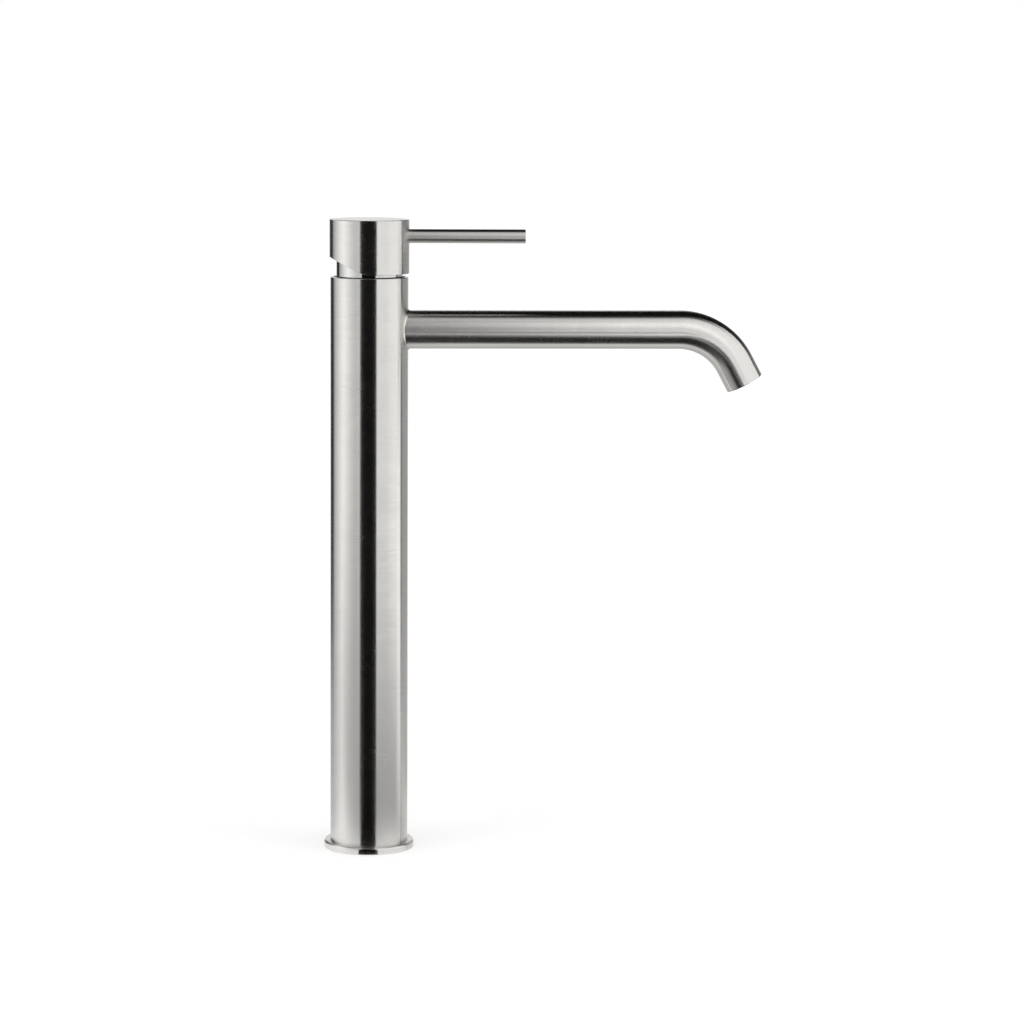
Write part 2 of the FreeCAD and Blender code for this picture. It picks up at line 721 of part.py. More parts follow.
def make_cartridge_base():
    body = turned("cartridge_base", [
        ("0", "pocket_floor"),
        ("cartridge_radius", "pocket_floor"),
        ("cartridge_radius", "base_top"),
        ("0", "base_top"),
    ])
    ports = (
        ("hot", "port_x", "port_y", "port_radius"),
        ("cold", "port_x", "-port_y", "port_radius"),
        ("outlet", "-outlet_port_back", "0", "outlet_port_radius"),
    )
    for side, x, y, radius in ports:
        seat = "%s + port_seal_wall + fixed_clearance" % radius
        bore(body, side + "_base_port", radius, "pocket_floor", "base_thickness", x, y)
        bore(body, side + "_seal_seat", seat, "pocket_floor", "port_seal_height", x, y)
        seal = ring(side + "_port_seal", radius, "%s + port_seal_wall" % radius,
                    "pocket_floor", "pocket_floor + port_seal_height")
        bind(seal, "Placement.Base.x", x)
        if y != "0":
            bind(seal, "Placement.Base.y", y)
    for side, sign in (("left", ""), ("right", "-")):
        post(body, side + "_locating_peg", "peg_radius", "pocket_floor - peg_length",
             "peg_length + base_thickness / 2", "-peg_back", sign + "peg_offset")


def make_discs():
    fixed = turned("fixed_disc", [
        ("0", "base_top"),
        ("shell_bore - fixed_clearance", "base_top"),
        ("shell_bore - fixed_clearance", "fixed_disc_top"),
        ("0", "fixed_disc_top"),
    ])
    bore(fixed, "hot_disc_port", "port_radius", "base_top", "disc_thickness", "port_x", "port_y")
    bore(fixed, "cold_disc_port", "port_radius", "base_top", "disc_thickness", "port_x", "-port_y")
    bore(fixed, "outlet_disc_port", "outlet_port_radius", "base_top", "disc_thickness", "-outlet_port_back")
    moving = turned("moving_disc", [
        ("0", "moving_disc_bottom"),
        ("moving_disc_radius", "moving_disc_bottom"),
        ("moving_disc_radius", "moving_disc_top"),
        ("0", "moving_disc_top"),
    ])
    bore(moving, "mixing_chamber", "chamber_radius", "moving_disc_bottom", "chamber_height")
    carrier = turned("disc_carrier", [
        ("0", "moving_disc_top"),
        ("moving_disc_radius", "moving_disc_top"),
        ("moving_disc_radius", "carrier_plate_top"),
        ("0", "carrier_plate_top"),
    ])
    boss_sizes = {
        "Length": "2 * carrier_half_length",
        "Width": "2 * carrier_half_width",
        "Height": "ball + carrier_above_ball - moving_disc_top",
    }
    primitive(carrier, "AdditiveBox", "carrier_boss", boss_sizes,
              at=("-carrier_half_length", "-carrier_half_width", "moving_disc_top"))
    bore(carrier, "ball_well", "stem_ball_radius + ball_clearance",
         "ball - stem_ball_radius - slide_gap", "2 * stem_ball_radius + slide_gap")
    for side, sign in (("left", ""), ("right", "-")):
        across = sign + "drive_peg_offset"
        bore(moving, side + "_drive_hole", "drive_peg_radius + fixed_clearance",
             "moving_disc_top - disc_thickness / 2", "disc_thickness / 2", "0", across)
        post(carrier, side + "_drive_peg", "drive_peg_radius",
             "moving_disc_top - disc_thickness / 2 + slide_gap",
             "disc_thickness / 2 - slide_gap + carrier_plate / 2", "0", across)


def make_shell():
    turned("cartridge_shell", [
        ("shell_bore", "base_top"),
        ("cartridge_radius", "base_top"),
        ("cartridge_radius", "shoulder"),
        ("neck_radius", "shoulder"),
        ("neck_radius", "neck_top"),
        ("neck_bore", "neck_top"),
        ("neck_bore", "shell_step"),
        ("shell_bore", "shell_step"),
    ])


def make_swivel():
    """The part of the cartridge that turns with the handle and carries the stem's pin."""
    body = turned("stem_swivel", [
        ("0", "swivel_bottom"),
        ("shell_bore - turning_clearance", "swivel_bottom"),
        ("shell_bore - turning_clearance", "swivel_flange_top"),
        ("swivel_radius", "swivel_flange_top"),
        ("swivel_radius", "swivel_top"),
        ("0", "swivel_top"),
    ])
    slot_sizes = {
        "Length": "swivel_slot_front + swivel_slot_back",
        "Width": "2 * (carrier_half_width + guide_clearance)",
        "Height": "swivel_top - swivel_bottom",
    }
    primitive(body, "SubtractiveBox", "stem_slot", slot_sizes,
              at=("-swivel_slot_back", "-(carrier_half_width + guide_clearance)", "swivel_bottom"))
    pin_bore(body, "swivel_pin_bore", "stem_pin_radius", "swivel_radius + overrun", "pivot")
    pin = new_body("stem_pin")
    pin_sizes = {"Radius": "stem_pin_radius", "Height": "2 * (swivel_radius - slide_gap)"}
    primitive(pin, "AdditiveCylinder", "pin_bar", pin_sizes, "XZ_Plane",
              ("0", "pivot", "-(swivel_radius - slide_gap)"))


def make_stem():
    body = new_body("lever_stem")
    square = {
        "Length": "2 * stem_half_width",
        "Width": "2 * stem_half_width",
        "Height": "stem_top - pivot + stem_square_below_pivot",
    }
    primitive(body, "AdditiveBox", "stem_square", square,
              at=("-stem_half_width", "-stem_half_width", "pivot - stem_square_below_pivot"))
    post(body, "stem_neck", "stem_neck_radius", "ball", "pivot - ball - stem_pin_radius")
    primitive(body, "AdditiveSphere", "stem_ball", {"Radius": "stem_ball_radius"}, at=("0", "0", "ball"))
    pin_bore(body, "stem_pin_bore", "stem_pin_radius + running_clearance", "stem_half_width + overrun", "pivot")


def make_nut_and_sleeve():
    nut = turned("clamp_nut", [
        ("nut_bore", "shoulder"),
        ("nut_radius", "shoulder"),
        ("nut_radius", "column_top"),
        ("nut_neck_radius", "column_top"),
        ("nut_neck_radius", "nut_top"),
        ("nut_bore", "nut_top"),
    ])
    slot_sizes = {"Length": "nut_radius", "Width": "nut_slot_width", "Height": "nut_slot_depth"}
    slot = primitive(nut, "SubtractiveBox", "spanner_slot", slot_sizes,
                     at=("0", "-nut_slot_width / 2", "nut_top - nut_slot_depth"))
    around(nut, slot, 4, "spanner_slots")
    sleeve = turned("trim_sleeve", [
        ("nut_neck_radius + fixed_clearance", "column_top"),
        ("sleeve_radius", "column_top"),
        ("sleeve_radius", "sleeve_top"),
        ("swivel_radius + sleeve_mouth_gap", "sleeve_top"),
        ("swivel_radius + sleeve_mouth_gap", "sleeve_top - sleeve_lip"),
        ("nut_neck_radius + fixed_clearance", "sleeve_top - sleeve_lip"),
    ])
    document.recompute()
    spin = sleeve.Tip
    edge = circle_edges(spin, size("column_radius") - size("sleeve_inset"),
                        size("column_top") + size("sleeve_height"))
    dress(sleeve, "Fillet", "sleeve_edge", spin, edge, "Radius", "sleeve_round")


# ---------------------------------------------------------------- handle
def heel_sketch(body):
    """The wedge cut from the handle's heel: a slope blended by an arc into the flat rim."""
    sketch = body.newObject("Sketcher::SketchObject", "heel_outline")
    attach(sketch, body, "XZ_Plane", ("0", "0", "0"))
    radius = size("column_radius") + size("cap_overhang")
    bottom = size("column_top") + size("cap_gap")
    slope = math.radians(size("heel_angle"))
    tangent = size("heel_blend") * math.tan(slope / 2)
    corner = size("heel_height") / math.tan(slope) - radius
    blend_end = Vector(corner + tangent, bottom, 0)
    blend_start = Vector(corner - tangent * math.cos(slope), bottom + tangent * math.sin(slope), 0)
    centre = Vector(corner + tangent, bottom + size("heel_blend"), 0)
    outer = Vector(-radius, bottom + size("heel_height"), 0)
    far = Vector(-2 * radius, bottom + size("heel_height") + radius * math.tan(slope), 0)
    below = Vector(-2 * radius, bottom - size("cap_gap"), 0)
    under = Vector(blend_end.x, bottom - size("cap_gap"), 0)
    circle = Part.Circle(centre, Vector(0, 0, 1), size("heel_blend"))
    sketch.addGeometry(Part.LineSegment(far, blend_start), False)
    sketch.addGeometry(Part.ArcOfCircle(circle, 1.5 * math.pi - slope, 1.5 * math.pi), False)
    sketch.addGeometry(Part.LineSegment(blend_end, under), False)
    sketch.addGeometry(Part.LineSegment(under, below), False)
    sketch.addGeometry(Part.LineSegment(below, far), False)
    for first, second in ((2, 3), (3, 4), (4, 0)):
        sketch.addConstraint(Sketcher.Constraint("Coincident", first, 2, second, 1))
    sketch.addConstraint(Sketcher.Constraint("Coincident", 0, 2, 1, 1))
    sketch.addConstraint(Sketcher.Constraint("Coincident", 1, 2, 2, 1))
    hold(sketch, "DistanceX", 0, 1, "-2 * cap_radius")
    hold(sketch, "DistanceY", 0, 1, "cap_bottom + heel_height + cap_radius * tan(heel_angle)")
    hold(sketch, "DistanceX", 0, 2, "heel_blend_start")
    hold(sketch, "DistanceY", 0, 2, "cap_bottom + heel_blend_rise")
    hold(sketch, "DistanceX", 2, 1, "heel_blend_end")
    hold(sketch, "DistanceY", 2, 1, "cap_bottom")
    hold(sketch, "DistanceX", 3, 1, "heel_blend_end")
    hold(sketch, "DistanceY", 3, 1, "cap_bottom - cap_gap")
    hold(sketch, "DistanceX", 4, 1, "-2 * cap_radius")
    hold(sketch, "DistanceY", 4, 1, "cap_bottom - cap_gap")
    number = sketch.addConstraint(Sketcher.Constraint("Radius", 1, size("heel_blend")))
    bind(sketch, "Constraints[%d]" % number, "heel_blend")
    return sketch


def make_cap():
    body = turned("handle_cap", [
        ("cap_inner", "cap_bottom"),
        ("cap_radius", "cap_bottom"),
        ("cap_radius", "cap_top"),
        ("0", "cap_top"),
        ("0", "roof"),
        ("cap_inner", "roof"),
    ])
    document.recompute()
    spin = body.Tip
    edge = circle_edges(spin, size("column_radius") + size("cap_overhang"),
                        size("column_top") + size("cap_gap") + size("cap_height"))
    dress(body, "Fillet", "cap_edge", spin, edge, "Radius", "cap_round")
    heel = body.newObject("PartDesign::Pocket", "heel_cut")
    heel.Profile = heel_sketch(body)
    heel.SideType = "Symmetric"
    bind(heel, "Length", "4 * cap_radius")
    body.Tip = heel
    forward_bore(body, "lever_hole", "lever_radius + fixed_clearance", "cap_inner - 2 * cap_wall",
                 "4 * cap_wall", "lever_height")


def make_hub():
    """The block inside the cap that grips the stem and takes the lever's thread."""
    body = new_body("handle_hub")
    post(body, "hub_round", "hub_radius", "hub_bottom", "roof - hub_bottom")
    arm = {"Length": "hub_arm_reach", "Width": "2 * hub_arm_half_width", "Height": "hub_arm_rise"}
    primitive(body, "AdditiveBox", "hub_arm", arm, at=("0", "-hub_arm_half_width", "hub_bottom"))
    grip = "stem_half_width + fixed_clearance"
    socket = {
        "Length": "2 * (%s)" % grip,
        "Width": "2 * (%s)" % grip,
        "Height": "stem_top + hub_socket_roof - hub_bottom",
    }
    primitive(body, "SubtractiveBox", "stem_socket", socket,
              at=("-(%s)" % grip, "-(%s)" % grip, "hub_bottom"))
    forward_bore(body, "lever_thread", "lever_spigot_radius + fixed_clearance", "0",
                 "hub_arm_reach + overrun", "lever_height")


def make_grub_screw():
    """The grub screw behind the lever, tightened on the stem's flat."""
    body = new_body("hub_grub_screw")
    sizes = {"Radius": "lever_spigot_radius", "Height": "grub_length"}
    primitive(body, "AdditiveCylinder", "grub_bar", sizes, "YZ_Plane",
              ("0", "lever_height", "stem_half_width"))
    hexagon = [("grub_hex_radius * cos(%d)" % angle, "lever_height + grub_hex_radius * sin(%d)" % angle)
               for angle in (30, 90, 150, 210, 270, 330)]
    # The hexagon stands on a corner, so two of its corners lie on the screw's axis.
    hexagon = [("0" if "cos(90)" in x or "cos(270)" in x else x, z) for x, z in hexagon]
    sketch = polygon_sketch(body, "grub_hex_outline", hexagon, "YZ_Plane",
                            ("0", "0", "stem_half_width + grub_length"))
    socket = body.newObject("PartDesign::Pocket", "grub_hex")
    socket.Profile = sketch
    bind(socket, "Length", "grub_hex_depth")
    body.Tip = socket


def make_lever():
    body = new_body("lever_rod")
    rod = {"Radius": "lever_radius", "Height": "lever_reach - hub_arm_reach"}
    bar = primitive(body, "AdditiveCylinder", "lever_bar", rod, "YZ_Plane",
                    ("0", "lever_height", "hub_arm_reach"))
    document.recompute()
    tip = circle_edges(bar, size("lever_radius"), lever_level(), size("lever_reach"))
    dress(body, "Fillet", "lever_tip", bar, tip, "Radius", "lever_tip_round")
    spigot = {"Radius": "lever_spigot_radius", "Height": "lever_spigot_length"}
    primitive(body, "AdditiveCylinder", "lever_spigot", spigot, "YZ_Plane",
              ("0", "lever_height", "hub_arm_reach - lever_spigot_length"))


def lever_level():
    """The height of the lever's axis."""
    cap_top = size("column_top") + size("cap_gap") + size("cap_height")
    return cap_top - size("lever_below_top")


# ---------------------------------------------------------------- check and write
def check_document():
    """Stop if any object failed or any piece isn't one sound solid."""
    for item in document.Objects:
        if "Invalid" in item.State or "Error" in item.State:
            raise RuntimeError("%s failed: %s" % (item.Label, item.State))
    for piece in pieces:
        if piece.Shape.isNull() or not piece.Shape.isValid():
            raise RuntimeError("%s has no sound shape" % piece.Label)
        if len(piece.Shape.Solids) != 1:
            raise RuntimeError("%s has %d solids" % (piece.Label, len(piece.Shape.Solids)))


def write_pieces():
    os.makedirs("parts", exist_ok=True)
    for piece in pieces:
        piece.Shape.exportStep("parts/%s.step" % piece.Label)
        print("%-20s %10.1f mm3" % (piece.Label, piece.Shape.Volume))


sheet = make_sheet()
make_column()
make_foot()
make_foot_plug()
make_supply_tubes()
make_spout()
make_aerator()
make_valve_block()
make_cartridge_base()
make_discs()
make_shell()
make_swivel()
make_stem()
make_nut_and_sleeve()
make_cap()
make_hub()
make_grub_screw()
make_lever()
document.recompute()
check_document()
write_pieces()
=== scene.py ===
"""Tall single-lever basin mixer in brushed steel: a round column on a flanged foot, a tubular spout
bent down at its end, and a round handle with a pin lever. Everything is in metres, +X along the
spout, +Z up, and the foot stands on the floor at the origin."""

import json
import math

import bmesh
import bpy
import numpy as np
from mathutils import Matrix, Vector
from mathutils.geometry import delaunay_2d_cdt

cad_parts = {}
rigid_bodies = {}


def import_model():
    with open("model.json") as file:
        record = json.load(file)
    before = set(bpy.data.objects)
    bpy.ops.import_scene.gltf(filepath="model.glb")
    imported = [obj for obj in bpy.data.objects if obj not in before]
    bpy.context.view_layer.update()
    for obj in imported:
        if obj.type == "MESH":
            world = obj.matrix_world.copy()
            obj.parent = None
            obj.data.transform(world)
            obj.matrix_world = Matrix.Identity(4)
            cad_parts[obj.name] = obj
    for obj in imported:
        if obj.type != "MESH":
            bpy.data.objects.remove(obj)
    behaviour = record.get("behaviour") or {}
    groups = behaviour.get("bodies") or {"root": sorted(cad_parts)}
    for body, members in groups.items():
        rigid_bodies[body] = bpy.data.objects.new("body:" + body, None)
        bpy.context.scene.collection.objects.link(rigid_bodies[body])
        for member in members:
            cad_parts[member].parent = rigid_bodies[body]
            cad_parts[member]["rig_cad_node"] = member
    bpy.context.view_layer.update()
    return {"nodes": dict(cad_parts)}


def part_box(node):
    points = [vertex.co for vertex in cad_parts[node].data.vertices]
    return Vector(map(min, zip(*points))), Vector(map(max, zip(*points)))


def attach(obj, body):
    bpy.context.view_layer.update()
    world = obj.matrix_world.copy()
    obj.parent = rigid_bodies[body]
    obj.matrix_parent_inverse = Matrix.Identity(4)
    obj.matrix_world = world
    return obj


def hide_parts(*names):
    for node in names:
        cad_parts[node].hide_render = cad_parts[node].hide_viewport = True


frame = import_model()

bl_info = {
    "name": "Basin Mixer",
    "version": (1, 0, 0),
    "blender": (4, 5, 0),
    "location": "3D View > Sidebar > Mixer",
    "description": "Builds the visible pieces, finishes and studio of a tall single-lever basin mixer",
    "category": "Object",
}

MM = 0.001
COLUMNS, PORT_COLUMNS = 240, 64     # facets round the column, flange and handle, and round a port
GAP = 0.05 * MM                     # between a hole and what goes through it
TINY = 1e-7                         # two places nearer than this are the same


# ---------------------------------------------------------------- sizes and colours a user may change
def length(name, description, default):
    return bpy.props.FloatProperty(name=name, description=description, default=default, min=0.0,
                                   unit="LENGTH", subtype="DISTANCE", precision=5)


def angle(name, description, degrees, most):
    return bpy.props.FloatProperty(name=name, description=description, default=math.radians(degrees),
                                   min=0.0, max=math.radians(most), unit="ROTATION", subtype="ANGLE")


def share(name, description, default):
    return bpy.props.FloatProperty(name=name, description=description, default=default, min=0.0,
                                   max=1.0, subtype="FACTOR")


def tint(name, description, default):
    return bpy.props.FloatVectorProperty(name=name, description=description, default=default,
                                         subtype="COLOR", size=3, min=0.0, max=1.0)


class MixerSizes(bpy.types.PropertyGroup):
    """Sizes of the mixer's outside pieces."""

    column_radius: length("Column radius", "Outside of the column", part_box("column_tube")[1].x)
    column_wall: length("Column wall", "Thickness of the column's tube", 2.0 * MM)
    column_foot: length("Column foot", "Height of the column's lower end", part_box("column_tube")[0].z)
    column_top: length("Column top", "Height of the column's upper end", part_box("column_tube")[1].z)
    column_edge: length("Column edge", "Rounding of the column's upper edge", 0.45 * MM)
    flange_radius: length("Flange radius", "Outside of the foot's flange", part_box("base_flange")[1].x)
    flange_height: length("Flange height", "Height of the foot's flange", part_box("base_flange")[1].z)
    flange_round: length("Flange round", "Rounding of the flange's upper edge", 1.5 * MM)
    spout_height: length("Spout height", "Height of the spout's level run", 297.0 * MM)
    spout_radius: length("Spout radius", "Outside of the spout's tube", 11.0 * MM)
    spout_wall: length("Spout wall", "Thickness of the spout's tube", 1.5 * MM)
    spout_bend_start: length("Bend start", "Distance from the column's axis to the bend", 174.8 * MM)
    spout_bend_radius: length("Bend radius", "Radius of the bend's middle line", 36.6 * MM)
    spout_bend_angle: angle("Bend angle", "How far the spout turns down", 62.0, 90.0)
    spout_tail: length("Spout tail", "Straight end after the bend", 12.4 * MM)
    root_bead: length("Root bead", "Radius of the dressed weld between spout and column", 1.2 * MM)
    sleeve_radius: length("Sleeve radius", "Outside of the polished sleeve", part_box("trim_sleeve")[1].x)
    sleeve_top: length("Sleeve top", "Height of the sleeve's upper end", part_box("trim_sleeve")[1].z)
    cap_radius: length("Handle radius", "Outside of the handle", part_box("handle_cap")[1].x)
    cap_foot: length("Handle foot", "Height of the handle's lower rim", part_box("handle_cap")[0].z)
    cap_top: length("Handle top", "Height of the handle's flat top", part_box("handle_cap")[1].z)
    cap_wall: length("Handle wall", "Thickness of the handle's skirt", 1.6 * MM)
    heel_height: length("Heel height", "How high the heel is cut away at the back", 9.3 * MM)
    heel_angle: angle("Heel angle", "Slope of the cut at the heel", 26.5, 60.0)
    heel_blend: length("Heel blend", "Radius between the slope and the flat rim", 20.0 * MM)
    lever_radius: length("Lever radius", "Half the thickness of the pin lever", 4.0 * MM)
    lever_reach: length("Lever reach", "From the column's axis to its tip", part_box("lever_rod")[1].x)
    lever_height: length("Lever height", "Height of the lever's axis",
                         (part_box("lever_rod")[0].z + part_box("lever_rod")[1].z) / 2)


class MixerFinish(bpy.types.PropertyGroup):
    """Colours and surface of the mixer's metals and plastics."""

    steel: tint("Brushed steel", "Colour of the brushed steel", (0.797, 0.78, 0.757))
    steel_dull: tint("Brushed steel, dull", "Colour in the brushing's deeper lines", (0.708, 0.69, 0.665))
    steel_roughness: share("Brushed roughness", "How far the brushing spreads a reflection", 0.25)
    brushing: share("Brushing", "How much further it spreads along the piece than round it", 1.0)
    bright: tint("Polished steel", "Colour of the polished sleeve", (0.71, 0.712, 0.698))
    brass: tint("Brass", "Colour of the machined brass", (0.70, 0.54, 0.30))
    rubber: tint("Rubber", "Colour of the gasket and seals", (0.022, 0.022, 0.023))
    aerator: tint("Aerator", "Colour of the aerator's moulded insert", (0.56, 0.57, 0.57))


class MixerStudio(bpy.types.PropertyGroup):
    """Floor, lamps and reflecting cards."""

    floor: tint("Floor", "Colour of the plain floor", (0.86, 0.86, 0.86))
    room_light: share("Room light", "Even light from all round", 0.62)
    lamp_level: bpy.props.FloatProperty(
        name="Lamp level", description="Brightness of the three soft lamps", default=1.0, min=0.0)


# ---------------------------------------------------------------- mesh tools
def add_object(name, data):
    made = bpy.data.objects.new(name, data)
    bpy.context.scene.collection.objects.link(made)
    return made


def spread(*parts):
    """Coordinates whose shapes fit each other, as one array of points."""
    return np.stack(np.broadcast_arrays(*parts), -1)


def unit(ways):
    return ways / np.linalg.norm(ways, axis=-1, keepdims=True)


def rows_between(first, last, parts):
    """Even steps from first to last, each a row of a patch."""
    return np.linspace(first, last, parts + 1)[:, None]


class Skin:
    """Patches of one piece. Every corner keeps its own normal, so that a machined edge stays crisp and
    a rounded one smooth, and its place round and along the brushing."""

    def __init__(self):
        self.points, self.normals, self.lays, self.rolls, self.faces, self.kinds = [], [], [], [], [], []
        self.count = 0

    def add(self, points, normals, angles, along, reach, faces):
        """Points with the faces that join them, wound so that they look along the normals."""
        points, normals = points.reshape(-1, 3), normals.reshape(-1, 3)
        angles, along = np.ravel(angles), np.ravel(along)
        for face in faces:
            corners = points[face]
            flat = np.cross(corners[1] - corners[0], corners[2] - corners[0])
            if len(face) == 4:
                flat = flat + np.cross(corners[2] - corners[0], corners[3] - corners[0])
            if flat @ normals[face].sum(0) < 0:
                face = face[::-1]
            self.faces.append([int(corner) + self.count for corner in face])
            self.kinds.append(0)
        self.points.append(points)
        self.normals.append(normals)
        self.lays.append(spread(np.cos(angles), np.sin(angles), along))
        self.rolls.append(spread(along, angles * reach))
        self.count += len(points)

    def patch(self, points, normals, angles, along, reach):
        """A grid of rows along the piece and columns round it."""
        shape = points.shape[:2]
        grid = np.arange(shape[0] * shape[1]).reshape(shape)
        faces = spread(grid[:-1, :-1], grid[:-1, 1:], grid[1:, 1:], grid[1:, :-1]).reshape(-1, 4)
        self.add(points, np.broadcast_to(normals, points.shape), np.broadcast_to(angles, shape),
                 np.broadcast_to(along, shape), reach, faces)

    def brush_straight(self):
        """Brush the last patch in straight lines from front to back, in the second finish."""
        x, y = self.points[-1][:, 0], self.points[-1][:, 1]
        first = self.count - len(x)
        self.kinds = [1 if face[0] >= first else kind for face, kind in zip(self.faces, self.kinds)]
        self.lays[-1] = spread(12.0 * y, 0.5, x)
        self.rolls[-1] = spread(x, y)

    def build(self, name, body, finishes, slot, node):
        """Join the patches where they meet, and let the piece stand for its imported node."""
        old = bpy.data.objects.get(name)
        if old is not None and "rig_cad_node" not in old:
            bpy.data.objects.remove(old)
        mesh = bpy.data.meshes.new(name)
        mesh.from_pydata(np.concatenate(self.points).tolist(), [], self.faces)
        corners = np.array([corner for face in self.faces for corner in face])
        for key, values in (("facing", self.normals), ("lay", self.lays)):
            layer = mesh.attributes.new(key, "FLOAT_VECTOR", "CORNER")
            layer.data.foreach_set("vector", np.concatenate(values)[corners].astype(np.float32).ravel())
        rolled = mesh.uv_layers.new(name="rolled")
        rolled.data.foreach_set("uv", np.concatenate(self.rolls)[corners].astype(np.float32).ravel())
        mesh.polygons.foreach_set("material_index", self.kinds)
        for finish in finishes.split(", "):
            mesh.materials.append(finish_of(finish))
        work = bmesh.new()
        work.from_mesh(mesh)
        bmesh.ops.remove_doubles(work, verts=work.verts, dist=2e-6)
        bmesh.ops.dissolve_degenerate(work, edges=work.edges, dist=TINY)
        work.to_mesh(mesh)
        work.free()
        facing = np.zeros(len(mesh.loops) * 3, np.float32)
        mesh.attributes["facing"].data.foreach_get("vector", facing)
        mesh.attributes.remove(mesh.attributes["facing"])
        mesh.polygons.foreach_set("use_smooth", [True] * len(mesh.polygons))
        mesh.normals_split_custom_set(facing.reshape(-1, 3))
        piece = add_object(name, mesh)
        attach(piece, body)
        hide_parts(node)


def outline(corners, step=6.0 * MM):
    """Rows of a turned profile from its corners (radius, height, rounding), in runs that share a normal
    or turn it smoothly. The last corner joins the first, and a run on the axis is left out."""
    area = sum(a[0] * b[1] - b[0] * a[1] for a, b in zip(corners, corners[1:] + corners[:1]))
    side = 1.0 if area > 0 else -1.0
    spots = [Vector(corner[:2]) for corner in corners]
    ways = [(after - spot).normalized() for spot, after in zip(spots, spots[1:] + spots[:1])]
    cuts = []
    for i, corner in enumerate(corners):
        before, after = ways[i - 1], ways[i]
        bend = math.atan2(before.x * after.y - before.y * after.x, before.dot(after))
        rounding = corner[2] if len(corner) > 2 else 0.0
        cuts.append((bend, rounding, rounding * abs(math.tan(bend / 2))))
    runs, gone = [], 0.0
    for i, (bend, rounding, cut) in enumerate(cuts):
        way, after = ways[i], (i + 1) % len(corners)
        if rounding:
            start = spots[i] - ways[i - 1] * cut
            parts = max(4, math.ceil(abs(bend) / math.radians(11.0)))
            before = Vector((ways[i - 1].y, -ways[i - 1].x)) * side
            inward = math.copysign(1.0, bend) * side
            centre = start - before * rounding * inward
            run = []
            for k in range(parts + 1):
                turned = bend * k / parts
                c, s = math.cos(turned), math.sin(turned)
                facing = Vector((c * before.x - s * before.y, s * before.x + c * before.y))
                spot = centre + facing * rounding * inward
                run.append((*spot, *facing, gone + rounding * abs(turned)))
            gone = run[-1][4]
            runs.append(run)
        start, end = spots[i] + way * cut, spots[after] - way * cuts[after][2]
        whole = (end - start).length
        if max(start.x, end.x) > 1e-9 and whole > 1e-8:
            parts = max(1, math.ceil(whole / step))
            facing = Vector((way.y, -way.x)) * side
            runs.append([(*start.lerp(end, k / parts), *facing, gone + whole * k / parts)
                         for k in range(parts + 1)])
        gone += whole
    return runs


def lane(start, end, facing, first=0.0, last=MM):
    """A straight run of a profile, with its facing and its place along the brushing."""
    return [(*start, *facing, first), (*end, *facing, last)]


def stood(place, points, normals):
    """Points and normals moved from the upright axis to where place stands it."""
    if place is None:
        return points, normals
    spin = np.array(place.to_3x3())
    return points @ spin.T + np.array(place.translation), normals @ spin.T


def turn(skin, runs, columns, place=None):
    """Spin runs of a profile about the Z axis, or about the axis that place stands it on."""
    angles = np.linspace(0.0, 2 * math.pi, columns + 1)
    c, s = np.cos(angles), np.sin(angles)
    for run in runs:
        r, z, nr, nz, along = (np.array(column)[:, None] for column in zip(*run))
        points, normals = stood(place, spread(r * c, r * s, z), spread(nr * c, nr * s, nz))
        skin.patch(points, normals, angles, along, max(float(r.max()), MM))


def thread(skin, radius, depth, pitch, low, high, columns, place, outward=1.0):
    """A helical thread, cut outward from a hole's wall, or inward from a rod with outward -1. It fades
    out at both ends."""
    def surface(height, angle):
        wave = np.abs(((height - low) / pitch - angle / (2 * math.pi)) % 1.0 - 0.5) * 2.0
        groove = np.clip((wave - 0.12) / 0.76, 0.0, 1.0)
        fade = np.clip(np.minimum(height - low, high - height) / (0.6 * pitch), 0.0, 1.0)
        r = radius + depth * groove * fade * outward
        return spread(r * np.cos(angle), r * np.sin(angle), height)

    heights = rows_between(low, high, max(8, round((high - low) / pitch * 8)))
    angles = np.linspace(0.0, 2 * math.pi, columns + 1)[None, :]
    rise, nudge = pitch / 60, 2e-3
    up = (surface(np.clip(heights + rise, low, high), angles)
          - surface(np.clip(heights - rise, low, high), angles))
    onward = surface(heights, angles + nudge) - surface(heights, angles - nudge)
    normals = unit(np.cross(onward, up)) * -outward
    skin.patch(*stood(place, surface(heights, angles), normals), angles, heights, radius)


def flat_face(skin, height, facing, rim, rim_columns, holes):
    """A level face inside a circle about the axis and outside round holes (x, y, radius)."""
    points, edges = [], []
    for x, y, radius in [(0.0, 0.0, rim), *holes]:
        first, columns = len(points), PORT_COLUMNS if points else rim_columns
        for k in range(columns):
            around = 2 * math.pi * k / columns
            points.append(Vector((x + radius * math.cos(around), y + radius * math.sin(around))))
            edges.append((first + k, first + (k + 1) % columns))

    def clear(spot, margin=0.0):
        return spot.length < rim - margin and all(
            (spot - Vector(hole[:2])).length > hole[2] + margin for hole in holes)

    step = rim / 7
    grid = [Vector((i * step, j * step)) for i in range(-7, 8) for j in range(-7, 8)]
    loose = [spot for spot in grid if clear(spot, step / 2)]
    made, _, triangles, _, _, _ = delaunay_2d_cdt(points + loose, edges, [], 0, 1e-9)
    kept = [list(triangle) for triangle in triangles
            if clear(sum((made[i] for i in triangle), Vector((0, 0))) / len(triangle))]
    flat = np.array([(spot.x, spot.y, height) for spot in made])
    skin.add(flat, np.tile((0.0, 0.0, facing), (len(flat), 1)), np.arctan2(flat[:, 1], flat[:, 0]),
             np.hypot(flat[:, 0], flat[:, 1]), rim, kept)


def window_columns(radius, hole_radius):
    """How many columns of a round wall the window round a hole takes on each side of the hole."""
    return math.ceil(1.6 * hole_radius / (radius * 2 * math.pi / COLUMNS))


def wall_angles(half):
    """The columns of a round wall, from the edge of its window once round."""
    return (np.arange(COLUMNS + 1) - half) * 2 * math.pi / COLUMNS


